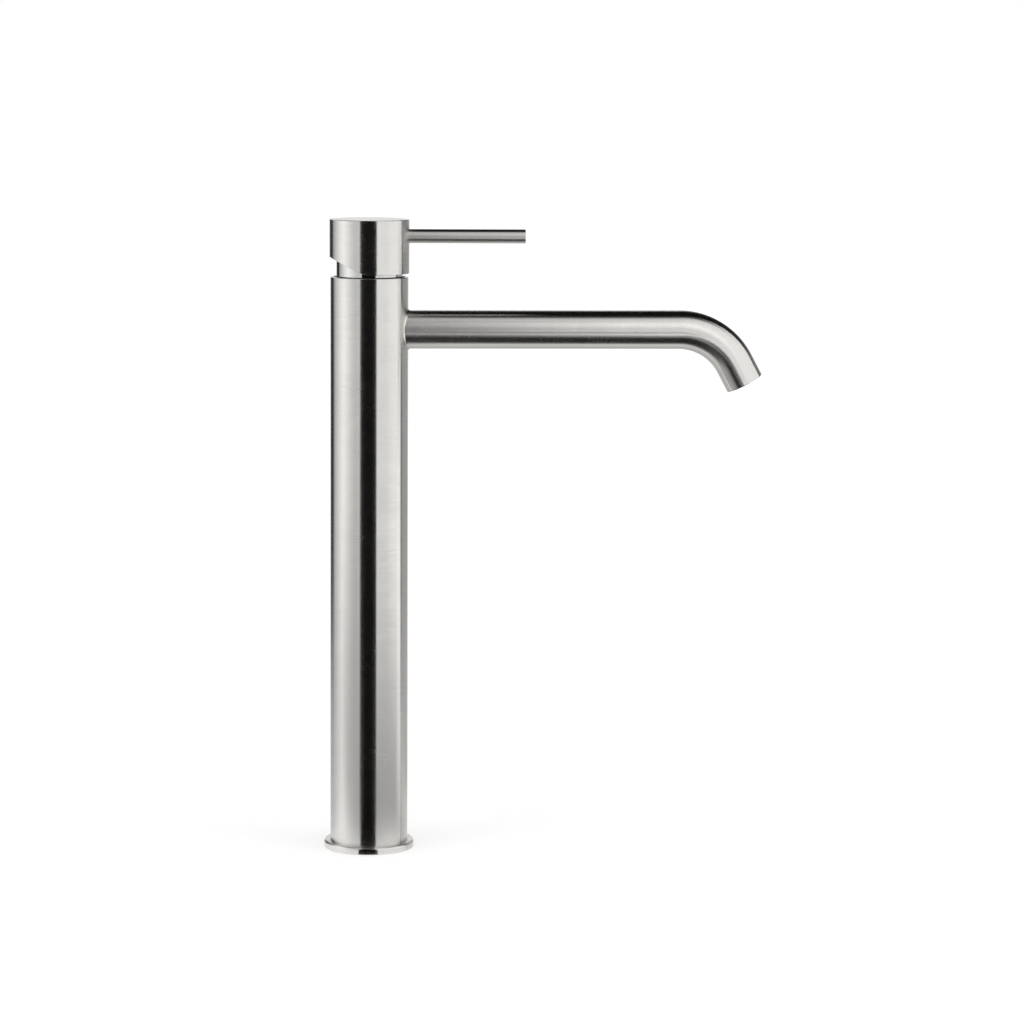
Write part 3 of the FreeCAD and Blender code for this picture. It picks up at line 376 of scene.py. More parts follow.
def pierced_wall(skin, radius, foot, high, hole_height, hole_radius, half, facing, rows):
    """A round wall with a hole towards +X. foot is the height of its lower edge, alike all round or one
    for each column. Returns where round the hole its edge has its points."""
    angles = wall_angles(half)
    reach = half * radius * 2 * math.pi / COLUMNS
    level = np.linspace(-reach, reach, 2 * half + 1)

    def place(around, height):
        skin.patch(spread(radius * np.cos(around), radius * np.sin(around), height),
                   spread(np.cos(around), np.sin(around), 0 * around) * facing, around, height, radius)

    below = rows_between(0.0, 1.0, rows)
    place(angles, foot + (hole_height - reach - foot) * below)
    place(angles, rows_between(hole_height + reach, high, 2))
    place(angles[2 * half:], hole_height + level[:, None])
    # The window round the hole: its border is on the grid, and rings close in on the hole's edge.
    border = np.array([(reach, v) for v in level[half:-1]] + [(v, reach) for v in level[:0:-1]]
                      + [(-reach, v) for v in level[:0:-1]] + [(v, -reach) for v in level[:-1]]
                      + [(reach, v) for v in level[:half + 1]])
    bearing = np.arctan2(border[:, 1], border[:, 0])
    edge = spread(np.arcsin(hole_radius * np.cos(bearing) / radius) * radius,
                  hole_radius * np.sin(bearing))
    ease = rows_between(0.0, 1.0, 10)[..., None] ** 1.3
    ring = edge * (1 - ease) + border * ease
    place(ring[..., 0] / radius, hole_height + ring[..., 1])
    return bearing


def hole_wall(skin, outer, inner, height, hole, bearing):
    """The wall of a round hole towards +X, between a tube's outer and inner skin."""
    side, up = np.cos(bearing), np.sin(bearing)
    y, depth = hole * side, rows_between(0.0, 1.0, 2)
    x = np.sqrt(outer ** 2 - y ** 2) * (1 - depth) + np.sqrt(inner ** 2 - y ** 2) * depth
    skin.patch(spread(x, y, height + hole * up), spread(0 * side, -side, -up), np.unwrap(bearing), x, hole)


# ---------------------------------------------------------------- shader nodes
def add_node(tree, kind, inputs=(), **settings):
    """A node with its settings. inputs gives numbers, colours or sockets by an input's name or number."""
    made = tree.nodes.new("ShaderNode" + kind)
    for name, value in settings.items():
        setattr(made, name, value)
    for key, value in dict(inputs).items():
        slot = made.inputs[key]
        if isinstance(value, bpy.types.NodeSocket):
            tree.links.new(value, slot)
        else:
            slot.default_value = (*value, 1.0) if slot.type == "RGBA" else value
    return made


def sums(tree, operation, *values, **settings):
    return add_node(tree, "Math", dict(enumerate(values)), operation=operation, **settings).outputs[0]


def weighted(tree, start, *terms):
    """A number, plus each value times its weight."""
    for value, weight in terms:
        start = sums(tree, "MULTIPLY_ADD", value, weight, start)
    return start


def map_range(tree, value, old, new=(0.0, 1.0), how="LINEAR"):
    """A value moved from an old range to a new one."""
    inputs = dict(zip(("Value", "From Min", "From Max", "To Min", "To Max"), (value, *old, *new)))
    return add_node(tree, "MapRange", inputs, interpolation_type=how).outputs["Result"]


def noise(tree, vector, scale, detail, roughness=0.5):
    return add_node(tree, "TexNoise", {"Vector": vector, "Scale": scale, "Detail": detail,
                                       "Roughness": roughness}).outputs["Fac"]


def stretched(tree, vector, factors):
    return add_node(tree, "VectorMath", {0: vector, 1: factors}, operation="MULTIPLY").outputs[0]


def mixed(tree, factor, first, second):
    """A colour between two others."""
    return add_node(tree, "Mix", {0: factor, 6: first, 7: second}, data_type="RGBA").outputs[2]


def lighter(colour, factor, more=0.0):
    return tuple(min(1.0, part * factor + more) for part in colour)


def shader_group(name, outputs, **inputs):
    """Turn a function that wires a node group into one that makes the group once and hands it out. An
    input without a number is a vector."""
    def wrap(wire):
        def group():
            made = bpy.data.node_groups.get(name)
            if made is not None:
                return made
            made = bpy.data.node_groups.new(name, "ShaderNodeTree")
            for label, default in inputs.items():
                kind = "NodeSocketVector" if default is None else "NodeSocketFloat"
                slot = made.interface.new_socket(name=label, in_out="INPUT", socket_type=kind)
                if default is not None:
                    slot.default_value = default
            for label in outputs:
                made.interface.new_socket(name=label, in_out="OUTPUT", socket_type="NodeSocketFloat")
            results = wire(made, made.nodes.new("NodeGroupInput").outputs)
            for result, slot in zip(results, made.nodes.new("NodeGroupOutput").inputs):
                made.links.new(result, slot)
            return made
        return group
    return wrap


@shader_group("Brushing", ("Lines", "Bands", "Height"), Lay=None, Fineness=900.0, Unevenness=0.5)
def brushing(tree, given):
    """Lines left by a brushing belt: round the piece, fine, broken and a little uneven."""
    across = add_node(tree, "CombineXYZ", {"X": 2.6, "Y": 2.6, "Z": given["Fineness"]}).outputs[0]
    lines = noise(tree, stretched(tree, given["Lay"], across), 1.0, 4.0, 0.55)
    bands = noise(tree, stretched(tree, given["Lay"], (0.9, 0.9, 60.0)), 1.0, 2.0)
    return (map_range(tree, lines, (0.30, 0.70)), map_range(tree, bands, (0.34, 0.66)),
            weighted(tree, lines, (bands, given["Unevenness"])))


@shader_group("Worn edge", ("Edge",), Width=0.0004)
def worn_edge(tree, given):
    """How near a sharp edge is, from 0 on a face to 1 on the edge."""
    bevelled = add_node(tree, "Bevel", {"Radius": given["Width"]}, samples=6).outputs[0]
    normal = add_node(tree, "NewGeometry").outputs["Normal"]
    alike = add_node(tree, "VectorMath", {0: bevelled, 1: normal}, operation="DOT_PRODUCT").outputs["Value"]
    return [map_range(tree, alike, (0.995, 0.80))]


@shader_group("Grain", ("Height", "Mottle"), Place=None, Scale=2500.0)
def grain(tree, given):
    """The fine even grain of a cast, moulded or blasted surface."""
    return (noise(tree, given["Place"], given["Scale"], 3.0),
            noise(tree, given["Place"], sums(tree, "MULTIPLY", given["Scale"], 0.09), 2.0))


def use(tree, group, **values):
    """The outputs of a shader group with its own values."""
    return add_node(tree, "Group", values, node_tree=group()).outputs


def empty_tree(owner):
    """The cleared node tree of a material or world."""
    owner.use_nodes = True
    owner.node_tree.nodes.clear()
    return owner.node_tree


def place_of(tree):
    return add_node(tree, "TexCoord").outputs["Object"]


def lay_of(tree):
    """A piece's own places round and along its brushing."""
    return add_node(tree, "Attribute", attribute_name="lay").outputs["Vector"]


# ---------------------------------------------------------------- finishes
def new_material(name):
    material = bpy.data.materials.new(name)
    material.use_nodes = True
    return material, material.node_tree, material.node_tree.nodes["Principled BSDF"]


def dress(tree, shader, colour, roughness, metallic, height, depth):
    """Feed a finish's shader with its colour, roughness and the height of its surface."""
    bump = add_node(tree, "Bump", {"Height": height, "Distance": depth, "Strength": 1.0}).outputs[0]
    for name, value in (("Base Color", colour), ("Roughness", roughness), ("Normal", bump)):
        tree.links.new(value, shader.inputs[name])
    shader.inputs["Metallic"].default_value = metallic


def brushed(name, finish, roughness, metallic=1.0):
    """Metal brushed round the piece: a reflection spreads along the piece and stays narrow round it."""
    material, tree, shader = new_material(name)
    lines = use(tree, brushing, Lay=lay_of(tree), Fineness=900.0, Unevenness=0.4)
    edge = use(tree, worn_edge, Width=0.00035)["Edge"]
    tone = weighted(tree, 0.0, (lines["Lines"], 0.24), (lines["Bands"], 0.18))
    body = mixed(tree, tone, finish.steel, finish.steel_dull)
    dress(tree, shader, mixed(tree, sums(tree, "MULTIPLY", edge, 0.5), body, lighter(finish.steel, 1.08)),
          weighted(tree, roughness - 0.02, (lines["Lines"], 0.03), (lines["Bands"], 0.02), (edge, -0.06)),
          metallic, lines["Height"], 1.2e-6)
    shader.inputs["Anisotropic"].default_value = finish.brushing
    tangent = add_node(tree, "Tangent", direction_type="UV_MAP", uv_map="rolled").outputs[0]
    tree.links.new(tangent, shader.inputs["Tangent"])
    return material


def polished(name, colour):
    """Polished metal with faint wiping marks."""
    material, tree, shader = new_material(name)
    lines = use(tree, brushing, Lay=lay_of(tree), Fineness=600.0, Unevenness=0.5)
    clouds = map_range(tree, noise(tree, place_of(tree), 42.0, 3.0, 0.55), (0.46, 0.76), how="SMOOTHSTEP")
    tone = sums(tree, "MULTIPLY", lines["Bands"], 0.35)
    dress(tree, shader, mixed(tree, tone, colour, lighter(colour, 0.93)),
          weighted(tree, 0.07, (clouds, 0.056)), 1.0, lines["Height"], 3e-7)
    return material


def machined(name, colour, roughness, fineness=700.0, depth=2.5e-6, own_lay=False):
    """Turned metal as it leaves the lathe: clear tool lines, a duller skin and bright edges. They run
    round the piece by its own lay, or else about the upright axis."""
    material, tree, shader = new_material(name)
    lay = lay_of(tree) if own_lay else stretched(tree, place_of(tree), (60.0, 60.0, 1.0))
    lines = use(tree, brushing, Lay=lay, Fineness=fineness, Unevenness=0.8)
    mottle = use(tree, grain, Place=place_of(tree), Scale=1800.0)["Mottle"]
    edge = use(tree, worn_edge, Width=0.0004)["Edge"]
    tone = weighted(tree, 0.0, (lines["Lines"], 0.4), (mottle, 0.5))
    body = mixed(tree, tone, lighter(colour, 1.05), lighter(colour, 0.78))
    dress(tree, shader, mixed(tree, edge, body, lighter(colour, 1.2, 0.03)),
          weighted(tree, roughness, (lines["Bands"], 0.10)), 1.0, lines["Height"], depth)
    return material


def moulded(name, colour, roughness, metallic=0.0, scale=2500.0, depth=8e-6, contrast=0.12):
    """Moulded, cast or fired stuff: an even grain, faint mottling and slightly worn edges."""
    material, tree, shader = new_material(name)
    grains = use(tree, grain, Place=place_of(tree), Scale=scale)
    edge = use(tree, worn_edge, Width=0.0003)["Edge"]
    body = mixed(tree, grains["Mottle"], lighter(colour, 1 - contrast), lighter(colour, 1 + contrast))
    dress(tree, shader, mixed(tree, sums(tree, "MULTIPLY", edge, 0.5), body, lighter(colour, 1.25, 0.01)),
          map_range(tree, grains["Mottle"], (0.3, 0.7), (max(0.02, roughness - 0.06), roughness + 0.06)),
          metallic, grains["Height"], depth)
    return material


def finish_of(name):
    """The finish of that name, made once from the colours in the panel."""
    made = bpy.data.materials.get(name)
    if made is not None:
        return made
    finish = bpy.context.scene.mixer_finish
    maker, values, more = {
        "steel brushed round": (brushed, (finish, finish.steel_roughness), {}),
        "steel brushed straight": (brushed, (finish, finish.steel_roughness, 0.65), {}),
        "steel brushed lever": (brushed, (finish, finish.steel_roughness * 1.3), {}),
        "steel polished": (polished, (finish.bright,), {}),
        "brass machined": (machined, (finish.brass, 0.28), dict(fineness=520.0, depth=6e-6, own_lay=True)),
        "brass machined inside": (machined, (finish.brass, 0.28), {}),
        # A dark grey instead of the brass of the clamp nut and valve block: painted shade, so the narrow
        # gap under the sleeve reads dark.
        "brass plated dull": (machined, ((0.14, 0.14, 0.138), 0.45), {}),
        "copper drawn": (machined, ((0.80, 0.42, 0.27), 0.30), dict(fineness=120.0, depth=1.2e-6)),
        "screen steel": (machined, ((0.62, 0.61, 0.59), 0.28), dict(fineness=1500.0)),
        "steel plain": (machined, ((0.50, 0.49, 0.48), 0.34), dict(fineness=900.0)),
        "rubber black": (moulded, (finish.rubber, 0.62), dict(scale=1900.0, depth=1.2e-5, contrast=0.35)),
        "zinc cast": (moulded, ((0.58, 0.59, 0.60), 0.42), dict(metallic=1.0, depth=1.5e-5)),
        "ceramic lapped": (moulded, ((0.88, 0.87, 0.84), 0.16),
                           dict(scale=5200.0, depth=1.5e-6, contrast=0.03)),
        "cartridge plastic": (moulded, ((0.10, 0.16, 0.24), 0.44), dict(contrast=0.08)),
        "aerator plastic": (moulded, (finish.aerator, 0.40), dict(contrast=0.06)),
    }[name]
    return maker(name, *values, **more)


INNER_FINISHES = {
    "rubber black": ("flange_seal", "lower_block_seal", "upper_block_seal", "aerator_seal", "hot_port_seal",
                     "cold_port_seal", "outlet_port_seal"),
    "brass machined inside": ("outlet_bush",),
    # The clamp nut and valve block get a dark grey, not brass: painted shade for the gap under the sleeve.
    "brass plated dull": ("clamp_nut", "valve_block"),
    "zinc cast": ("handle_hub",),
    "copper drawn": ("hot_supply_tube", "cold_supply_tube"),
    "ceramic lapped": ("fixed_disc", "moving_disc"),
    "cartridge plastic": ("cartridge_base", "cartridge_shell", "stem_swivel", "disc_carrier"),
    "aerator plastic": ("aerator_housing", "flow_straightener"),
    "screen steel": ("aerator_screen",),
    "steel plain": ("stem_pin", "lever_stem", "hub_grub_screw"),
}


def finish_inner_pieces():
    """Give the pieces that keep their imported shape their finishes."""
    for finish, nodes in INNER_FINISHES.items():
        for node in nodes:
            piece = frame["nodes"][node]
            piece.data.materials.clear()
            piece.data.materials.append(finish_of(finish))


# ---------------------------------------------------------------- pieces
def build_column(size):
    """The column's tube, open at both ends, with the hole that the spout is welded into."""
    skin, foot, top = Skin(), size.column_foot, size.column_top
    outer, inner = size.column_radius, size.column_radius - size.column_wall
    hole, edge, small = size.spout_radius + GAP, size.column_edge, 0.2 * MM
    half = window_columns(inner, hole)
    for radius, high, facing in ((outer, top - edge, 1.0), (inner, top - small, -1.0)):
        bearing = pierced_wall(skin, radius, foot, high, size.spout_height, hole, half, facing, 26)
    # The ring across each end, with the upper edge rolled over.
    runs = outline([(inner, foot), (outer, foot), (outer, top, edge), (inner, top, small)])
    turn(skin, [run for run in runs if min(abs(run[0][2]), abs(run[-1][2])) < 0.999], COLUMNS)
    hole_wall(skin, outer, inner, size.spout_height, hole, bearing)
    skin.build("column", "mixer_body", "steel brushed round", "brushed_steel", "column_tube")


def spout_axes(size, along, bearing):
    """The spout's middle line at distances from the column's axis, and there the ways outward at each
    bearing and onward."""
    bend, radius = size.spout_bend_angle, size.spout_bend_radius
    turned = np.clip((along - size.spout_bend_start) / radius, 0.0, bend)
    beyond = np.maximum(along - size.spout_bend_start - radius * bend, 0.0)
    x = np.minimum(along, size.spout_bend_start) + radius * np.sin(turned) + beyond * np.cos(bend)
    z = size.spout_height - radius * (1 - np.cos(turned)) - beyond * np.sin(bend)
    side, up = np.cos(bearing), np.sin(bearing)
    return (spread(x, 0 * x, z), spread(up * np.sin(turned), side, up * np.cos(turned)),
            spread(np.cos(turned), 0 * turned, -np.sin(turned)))


def build_spout(size):
    """The spout's tube with its coped root, the dressed bead round it, and the bored outlet."""
    skin, radius, column = Skin(), size.spout_radius, size.column_radius
    bore, bead, inside = radius - size.spout_wall, size.root_bead, column - size.column_wall
    bend_end = size.spout_bend_start + size.spout_bend_radius * size.spout_bend_angle
    end, lip, bore_lip = bend_end + size.spout_tail, 0.35 * MM, 0.2 * MM
    bearing = np.linspace(0.0, 2 * math.pi, 193)[None, :]
    side, up = np.cos(bearing), np.sin(bearing)

    def tube(rows, wall, facing=1.0):
        middle, out, _ = spout_axes(size, rows, bearing)
        skin.patch(middle + out * wall, out * facing, bearing, rows, wall)

    # The bead: a ball of its radius rolled between column and spout.
    away = radius + bead
    ball_x = np.sqrt((column + bead) ** 2 - (away * side) ** 2)
    ball = spread(ball_x, away * side, size.spout_height + away * up)
    to_column = spread(-ball_x, -away * side, 0 * side) / (column + bead)
    to_spout = spread(0 * side, -side, -up)
    between = np.arccos(np.clip((to_column * to_spout).sum(-1), -1, 1))[..., None]
    part = rows_between(0.0, 1.0, 8)[..., None]
    ways = (np.sin((1 - part) * between) * to_column + np.sin(part * between) * to_spout) / np.sin(between)
    skin.patch(ball + ways * bead, -ways, bearing, part[..., 0] * 1.9 * MM, radius)
    # From the bead along the tube. The first rows even out from the saddle's edge to a square ring.
    square, ease = column + 3 * bead, rows_between(0.0, 1.0, 4)
    rows = np.concatenate([rows_between(square, size.spout_bend_start, 35),
                           rows_between(size.spout_bend_start, bend_end, 56)[1:],
                           rows_between(bend_end, end - lip, 5)[1:]])
    tube(ball_x + (square - ball_x) * ease, radius)
    tube(rows, radius)
    # The cut end with both edges broken, in the outlet's own plane.
    quarter = rows_between(0.0, math.pi / 2, 6)
    for broken, ring, facing, turned in ((lip, radius - lip, 1.0, quarter),
                                         (bore_lip, bore + bore_lip, -1.0, quarter[::-1])):
        middle, out, on = spout_axes(size, end - broken, bearing)
        way = out * (np.cos(turned) * facing)[..., None] + on * np.sin(turned)[..., None]
        skin.patch(middle + out * ring + way * broken, way, bearing, end + broken * turned, radius)
    middle, out, on = spout_axes(size, end, bearing)
    rings = np.array([[radius - lip], [bore + bore_lip]])
    skin.patch(middle + out * rings[..., None], on, bearing, end + rings, radius)
    # The bore, back to the coped root.
    cope = np.sqrt(inside ** 2 - (bore * side) ** 2)
    tube(cope + (square - cope) * ease, bore, -1.0)
    tube(np.append(rows[:-1], [[end - bore_lip]], 0), bore, -1.0)
    # The root's end inside the column, and its outside through the column's wall.
    rings = np.array([[radius], [bore]])
    y = rings * side
    root = np.sqrt(inside ** 2 - y ** 2)
    skin.patch(spread(root, y, size.spout_height + rings * up), spread(-root, -y, 0 * root) / inside,
               bearing, rows_between(0.0, size.spout_wall, 1), bore)
    seat_x = np.sqrt((column - 0.02 * MM) ** 2 - (radius * side) ** 2)
    tube(root[:1] + (seat_x - root[:1]) * rows_between(0.0, 1.0, 2), radius)
    # The bead's seat on the column's skin.
    under = spread(seat_x, radius * side, size.spout_height + radius * up)
    skin.patch(np.concatenate([under, ball + to_column * bead]), to_column, bearing,
               rows_between(0.0, bead, 1), radius)
    skin.build("spout", "mixer_body", "steel brushed round", "brushed_steel", "spout_tube")


def build_foot(size):
    """Flange, gasket and the threaded plug seen from below."""
    rim, top, ledge = size.flange_radius, size.flange_height, size.column_foot
    small, worn = 0.15 * MM, 0.25 * MM
    opening, seat, groove = (size.column_radius + more for more in (-3.0 * MM, GAP, 1.1 * MM))
    groove_low, groove_high = ledge + 0.5 * MM, ledge + 1.55 * MM
    outside, height = rim - 1.1 * MM, 1.2 * MM
    inside = outside - 2.2 * MM
    flange = Skin()
    turn(flange, outline([
        (opening, 0.0, small), (inside, 0.0, small), (inside, height, small), (outside, height, small),
        (outside, 0.0, small), (rim, 0.0, worn), (rim, top, size.flange_round), (seat, top, worn),
        (seat, groove_high), (groove, groove_high), (groove, groove_low), (seat, groove_low), (seat, ledge),
        (opening, ledge)]), COLUMNS)
    flange.build("foot_flange", "mixer_body", "steel brushed round", "brushed_steel", "base_flange")
    # Two raised ribs of the gasket press on the worktop.
    rise, middle = 0.28 * MM, (inside + outside) / 2
    ribs = [(inside, rise), (inside + 0.35 * MM, rise), (inside + 0.5 * MM, 0.0), (inside + 0.8 * MM, 0.0),
            (middle - 0.1 * MM, rise), (middle + 0.1 * MM, rise), (outside - 0.8 * MM, 0.0),
            (outside - 0.5 * MM, 0.0), (outside - 0.35 * MM, rise), (outside, rise)]
    gasket = Skin()
    turn(gasket, outline([(*spot, small) for spot in ribs] + [(outside, height), (inside, height)]), 160)
    gasket.build("foot_gasket", "mixer_body", "rubber black", "rubber", "base_gasket")
    build_plug(size, opening - GAP, ledge)


def build_plug(size, neck, ledge):
    """The brass plug: two threaded hose ports and the stud's threaded hole, each with a lead-in."""
    skin, core, top = Skin(), size.column_radius - size.column_wall - GAP, 15.7 * MM
    broken, columns = 0.3 * MM, 160
    runs = outline([(0.0, 0.0), (neck, 0.0, broken), (neck, ledge), (core, ledge), (core, top, broken),
                    (0.0, top)])
    turn(skin, [run for run in runs if min(run[0][0], run[-1][0]) > 1e-9], columns)
    slant, up, down, inward = (-0.7071, -0.7071), (0.0, 1.0), (0.0, -1.0), (-1.0, 0.0)
    # The ports: thread, floor, a narrow way and the wider socket for a supply tube.
    port, port_deep, port_pitch = 4.46 * MM, 0.54 * MM, 1.0 * MM
    floor, way, socket, socket_floor = 9.0 * MM, 3.5 * MM, 4.55 * MM, 12.0 * MM
    ports = [(5.5 * MM, 9.0 * MM), (5.5 * MM, -9.0 * MM)]
    for x, y in ports:
        place = Matrix.Translation((x, y, 0.0))
        turn(skin, [lane((port + port_deep, 0.0), (port, port_deep), slant, last=port_deep),
                    lane((port, floor), (way, floor), down),
                    lane((way, floor), (way, socket_floor), inward, floor, socket_floor),
                    lane((way, socket_floor), (socket, socket_floor), up),
                    lane((socket, socket_floor), (socket, top), inward, last=3 * MM)], PORT_COLUMNS, place)
        thread(skin, port, port_deep, port_pitch, port_deep, floor, PORT_COLUMNS, place)
    # The stud's hole, with a drilled point.
    stud, stud_deep, stud_pitch = 3.32 * MM, 0.66 * MM, 1.25 * MM
    stud_lead, stud_floor, stud_x = 0.68 * MM, 12.0 * MM, -11.0 * MM
    place = Matrix.Translation((stud_x, 0.0, 0.0))
    turn(skin, [lane((stud + stud_lead, 0.0), (stud, stud_lead), slant, last=stud_lead),
                lane((stud, stud_floor), (0.0, stud_floor + stud * 0.577), (-0.5, -0.866), last=stud)],
         PORT_COLUMNS, place)
    thread(skin, stud, stud_deep, stud_pitch, stud_lead, stud_floor, PORT_COLUMNS, place)
    flat_face(skin, 0.0, -1.0, neck - broken, columns,
              [(x, y, port + port_deep) for x, y in ports] + [(stud_x, 0.0, stud + stud_lead)])
    flat_face(skin, top, 1.0, core - broken, columns, [(x, y, socket) for x, y in ports])
    skin.build("foot_plug", "mixer_body", "brass machined", "brass", "base_plug")


def build_sleeve(size):
    """The polished sleeve in the gap under the handle."""
    skin, radius, low, high = Skin(), size.sleeve_radius, size.column_top, size.sleeve_top
    bore, mouth, lip = 16.55 * MM, 13.2 * MM, 1.5 * MM
    turn(skin, outline([(bore, low, 0.15 * MM), (radius, low, 0.5 * MM), (radius, high, 0.8 * MM),
                        (mouth, high, 0.25 * MM), (mouth, high - lip), (bore, high - lip)]), 200)
    skin.build("handle_sleeve", "mixer_body", "steel polished", "polished_steel", "trim_sleeve")


def heel_line(size, x):
    """Height and slope of the handle's lower rim at each x: a slope, a blend and the flat."""
    tangent = size.heel_blend * math.tan(size.heel_angle / 2)
    corner = size.heel_height / math.tan(size.heel_angle) - size.cap_radius
    flat_from, blend_from = corner + tangent, corner - tangent * math.cos(size.heel_angle)
    back = np.clip(flat_from - x, 0.0, flat_from - blend_from)
    drop = np.sqrt(size.heel_blend ** 2 - back ** 2)
    beyond = np.maximum(blend_from - x, 0.0)
    height = size.cap_foot + size.heel_blend - drop + beyond * math.tan(size.heel_angle)
    return height, -np.minimum(back / drop, math.tan(size.heel_angle))


def rim_edge(size, radius, angles, facing, rounding):
    """Where the ball that rounds the rim's edge on one side of the skirt has its centre, and its ways
    to the skirt's wall and to the cut."""
    height, slope = heel_line(size, radius * np.cos(angles))
    point = spread(radius * np.cos(angles), radius * np.sin(angles), height)
    wall = spread(np.cos(angles), np.sin(angles), 0.0) * facing
    cut = unit(spread(slope, 0.0, -1.0))
    shared = (wall * cut).sum(-1, keepdims=True)
    return point - rounding * (wall + cut) / (1 + shared), wall, cut


def build_cap(size):
    """The handle's cap: flat top with a narrow rolled edge, thin skirt and heel cut away."""
    skin, radius, top = Skin(), size.cap_radius, size.cap_top
    inner, roof = radius - size.cap_wall, top - 2.0 * MM
    edge, rounding, hole = 0.5 * MM, 0.22 * MM, size.lever_radius + GAP
    half = window_columns(inner, hole)
    angles, part = wall_angles(half), rows_between(0.0, 1.0, 5)[..., None]
    sides, rims = ((radius, 1.0, top - edge), (inner, -1.0, roof)), []
    edges = [rim_edge(size, wall_radius, angles, facing, rounding) for wall_radius, facing, _ in sides]
    for (wall_radius, facing, high), (centre, wall, _) in zip(sides, edges):
        bearing = pierced_wall(skin, wall_radius, (centre + wall * rounding)[:, 2], high, size.lever_height,
                               hole, half, facing, 12)
    # The rim's edge on each side, its first row on the wall.
    for (wall_radius, _, _), (centre, wall, cut) in zip(sides, edges):
        ways = unit(wall * (1 - part) + cut * part)
        points = centre + ways * rounding
        points[0, :, 0], points[0, :, 1] = wall_radius * np.cos(angles), wall_radius * np.sin(angles)
        skin.patch(points, ways, angles, part[..., 0] * rounding, radius)
        rims.append((centre + cut * rounding, cut))
    # The cut between the two edges.
    part = rows_between(0.0, 1.0, 3)[..., None]
    points, normals = (rims[0][k] * (1 - part) + rims[1][k] * part for k in (0, 1))
    skin.patch(points, unit(normals), angles, part[..., 0] * size.cap_wall, radius)
    # Roof, inside and out, with the rolled edge.
    for run in outline([(0.0, roof), (inner, roof), (inner, roof - 5 * MM), (radius, roof - 5 * MM),
                        (radius, top, edge), (0.0, top)], step=3.0 * MM):
        low, high = min(row[1] for row in run), max(row[1] for row in run)
        if low > top - edge - TINY or (high < roof + TINY and low > roof - TINY):
            turn(skin, [run], COLUMNS)
            if run[0][3] > 0.999 and run[-1][3] > 0.999:
                skin.brush_straight()
    hole_wall(skin, radius, inner, size.lever_height, hole, bearing)
    skin.build("handle", "handle", "steel brushed round, steel brushed straight", "brushed_steel",
               "handle_cap")


def build_lever(size):
    """The pin lever: a plain bar with a broken edge at its tip and a threaded spigot in the hub."""
    skin, radius, columns = Skin(), size.lever_radius, 96
    back, shoulder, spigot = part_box("lever_rod")[0].x, 19.2 * MM, 2.95 * MM
    broken, deep, pitch = 0.3 * MM, 0.55 * MM, 1.0 * MM
    place = Matrix.Translation((0.0, 0.0, size.lever_height)) @ Matrix.Rotation(math.pi / 2, 4, "Y")
    runs = outline([(0.0, back), (spigot, back, broken), (spigot, shoulder), (radius, shoulder, 0.1 * MM),
                    (radius, size.lever_reach, broken), (0.0, size.lever_reach)], step=3.0 * MM)
    turn(skin, [run for run in runs if any(abs(row[0] - spigot) > TINY for row in run)], columns, place)
    thread(skin, spigot, deep, pitch, back + broken, shoulder, columns, place, outward=-1.0)
    skin.build("lever", "handle", "steel brushed lever", "brushed_steel", "lever_rod")


# ---------------------------------------------------------------- studio
SIDE, SIDE_TOP = 0.62, 0.84         # how far the side cards stand from the column, and how high


def card_material():
    """What every card is made of: it glows as much as its points say."""
    made = bpy.data.materials.get("card")
    if made is None:
        made = bpy.data.materials.new("card")
        tree = empty_tree(made)
        level = add_node(tree, "Attribute", attribute_name="level").outputs["Fac"]
        light = add_node(tree, "Emission", {"Strength": level}).outputs[0]
        add_node(tree, "OutputMaterial", {"Surface": light})
    return made


def card(name, rows, levels):
    """A card that only shows in reflections: a grid of points and how brightly each one shows."""
    mesh = bpy.data.meshes.new(name)
    columns = len(rows[0])
    faces = [(i * columns + j, i * columns + j + 1, (i + 1) * columns + j + 1, (i + 1) * columns + j)
             for i in range(len(rows) - 1) for j in range(columns - 1)]
    mesh.from_pydata([tuple(point) for row in rows for point in row], [], faces)
    levels = np.broadcast_to(levels, (len(rows), columns)).astype(np.float32)
    mesh.attributes.new("level", "FLOAT", "POINT").data.foreach_set("value", levels.ravel())
    mesh.materials.append(card_material())
    made = add_object(name, mesh)
    made.visible_camera = made.visible_diffuse = made.visible_shadow = False
    made.visible_transmission = made.visible_volume_scatter = False


def swept(bearings, profile, wall=0.0):
    """Points on a surface swept round the column. Bearings are in degrees from the front, positive to
    the right, and the profile is (distance, height). A wall is the radius of a round skin in whose
    reflection the card's side edges stand upright down to its foot."""
    turned = [math.radians(bearing) for bearing in bearings]
    return [[(wall * math.sin(a / 2) + (distance - wall) * math.sin(a),
              -wall * math.cos(a / 2) - (distance - wall) * math.cos(a), height) for a in turned]
            for distance, height in profile]


def standing_card(name, profile, *levels, wall=0.0):
    """A card round the column. profile is (distance, height), and each row of it, or all of them, has
    its levels for some bearings, evened out between them."""
    first, last = levels[0][0][0], levels[0][-1][0]
    fine = np.linspace(first, last, round(last - first) + 1)
    card(name, swept(fine, profile, wall), np.array([np.interp(fine, *zip(*row)) for row in levels]))


def build_front_cards():
    """The dark gap between the two bright sides, in front of the mixer, and its dark lower end."""
    first, last = -29, 20.2
    profile = [(0.0262, 0.0003), (0.04, 0.0005), (0.15, 0.0006), (0.30, 0.0006), (0.30, 0.60), (0.30, 0.70),
               (0.27, 0.77), (0.20, 0.81)]
    shown = [0.001, 0.001, 0.001, 0.001, 0.001, 0.03, 0.25, 0.25]
    standing_card("card_front", profile, *[[(first, level), (last, level)] for level in shown], wall=0.0257)
    standing_card("card_front_far", [(SIDE, 0.0), (SIDE, 0.15), (SIDE, 0.22)],
                  *[[(-27, level), (19.5, level)] for level in (0.01, 0.02, 0.9)])


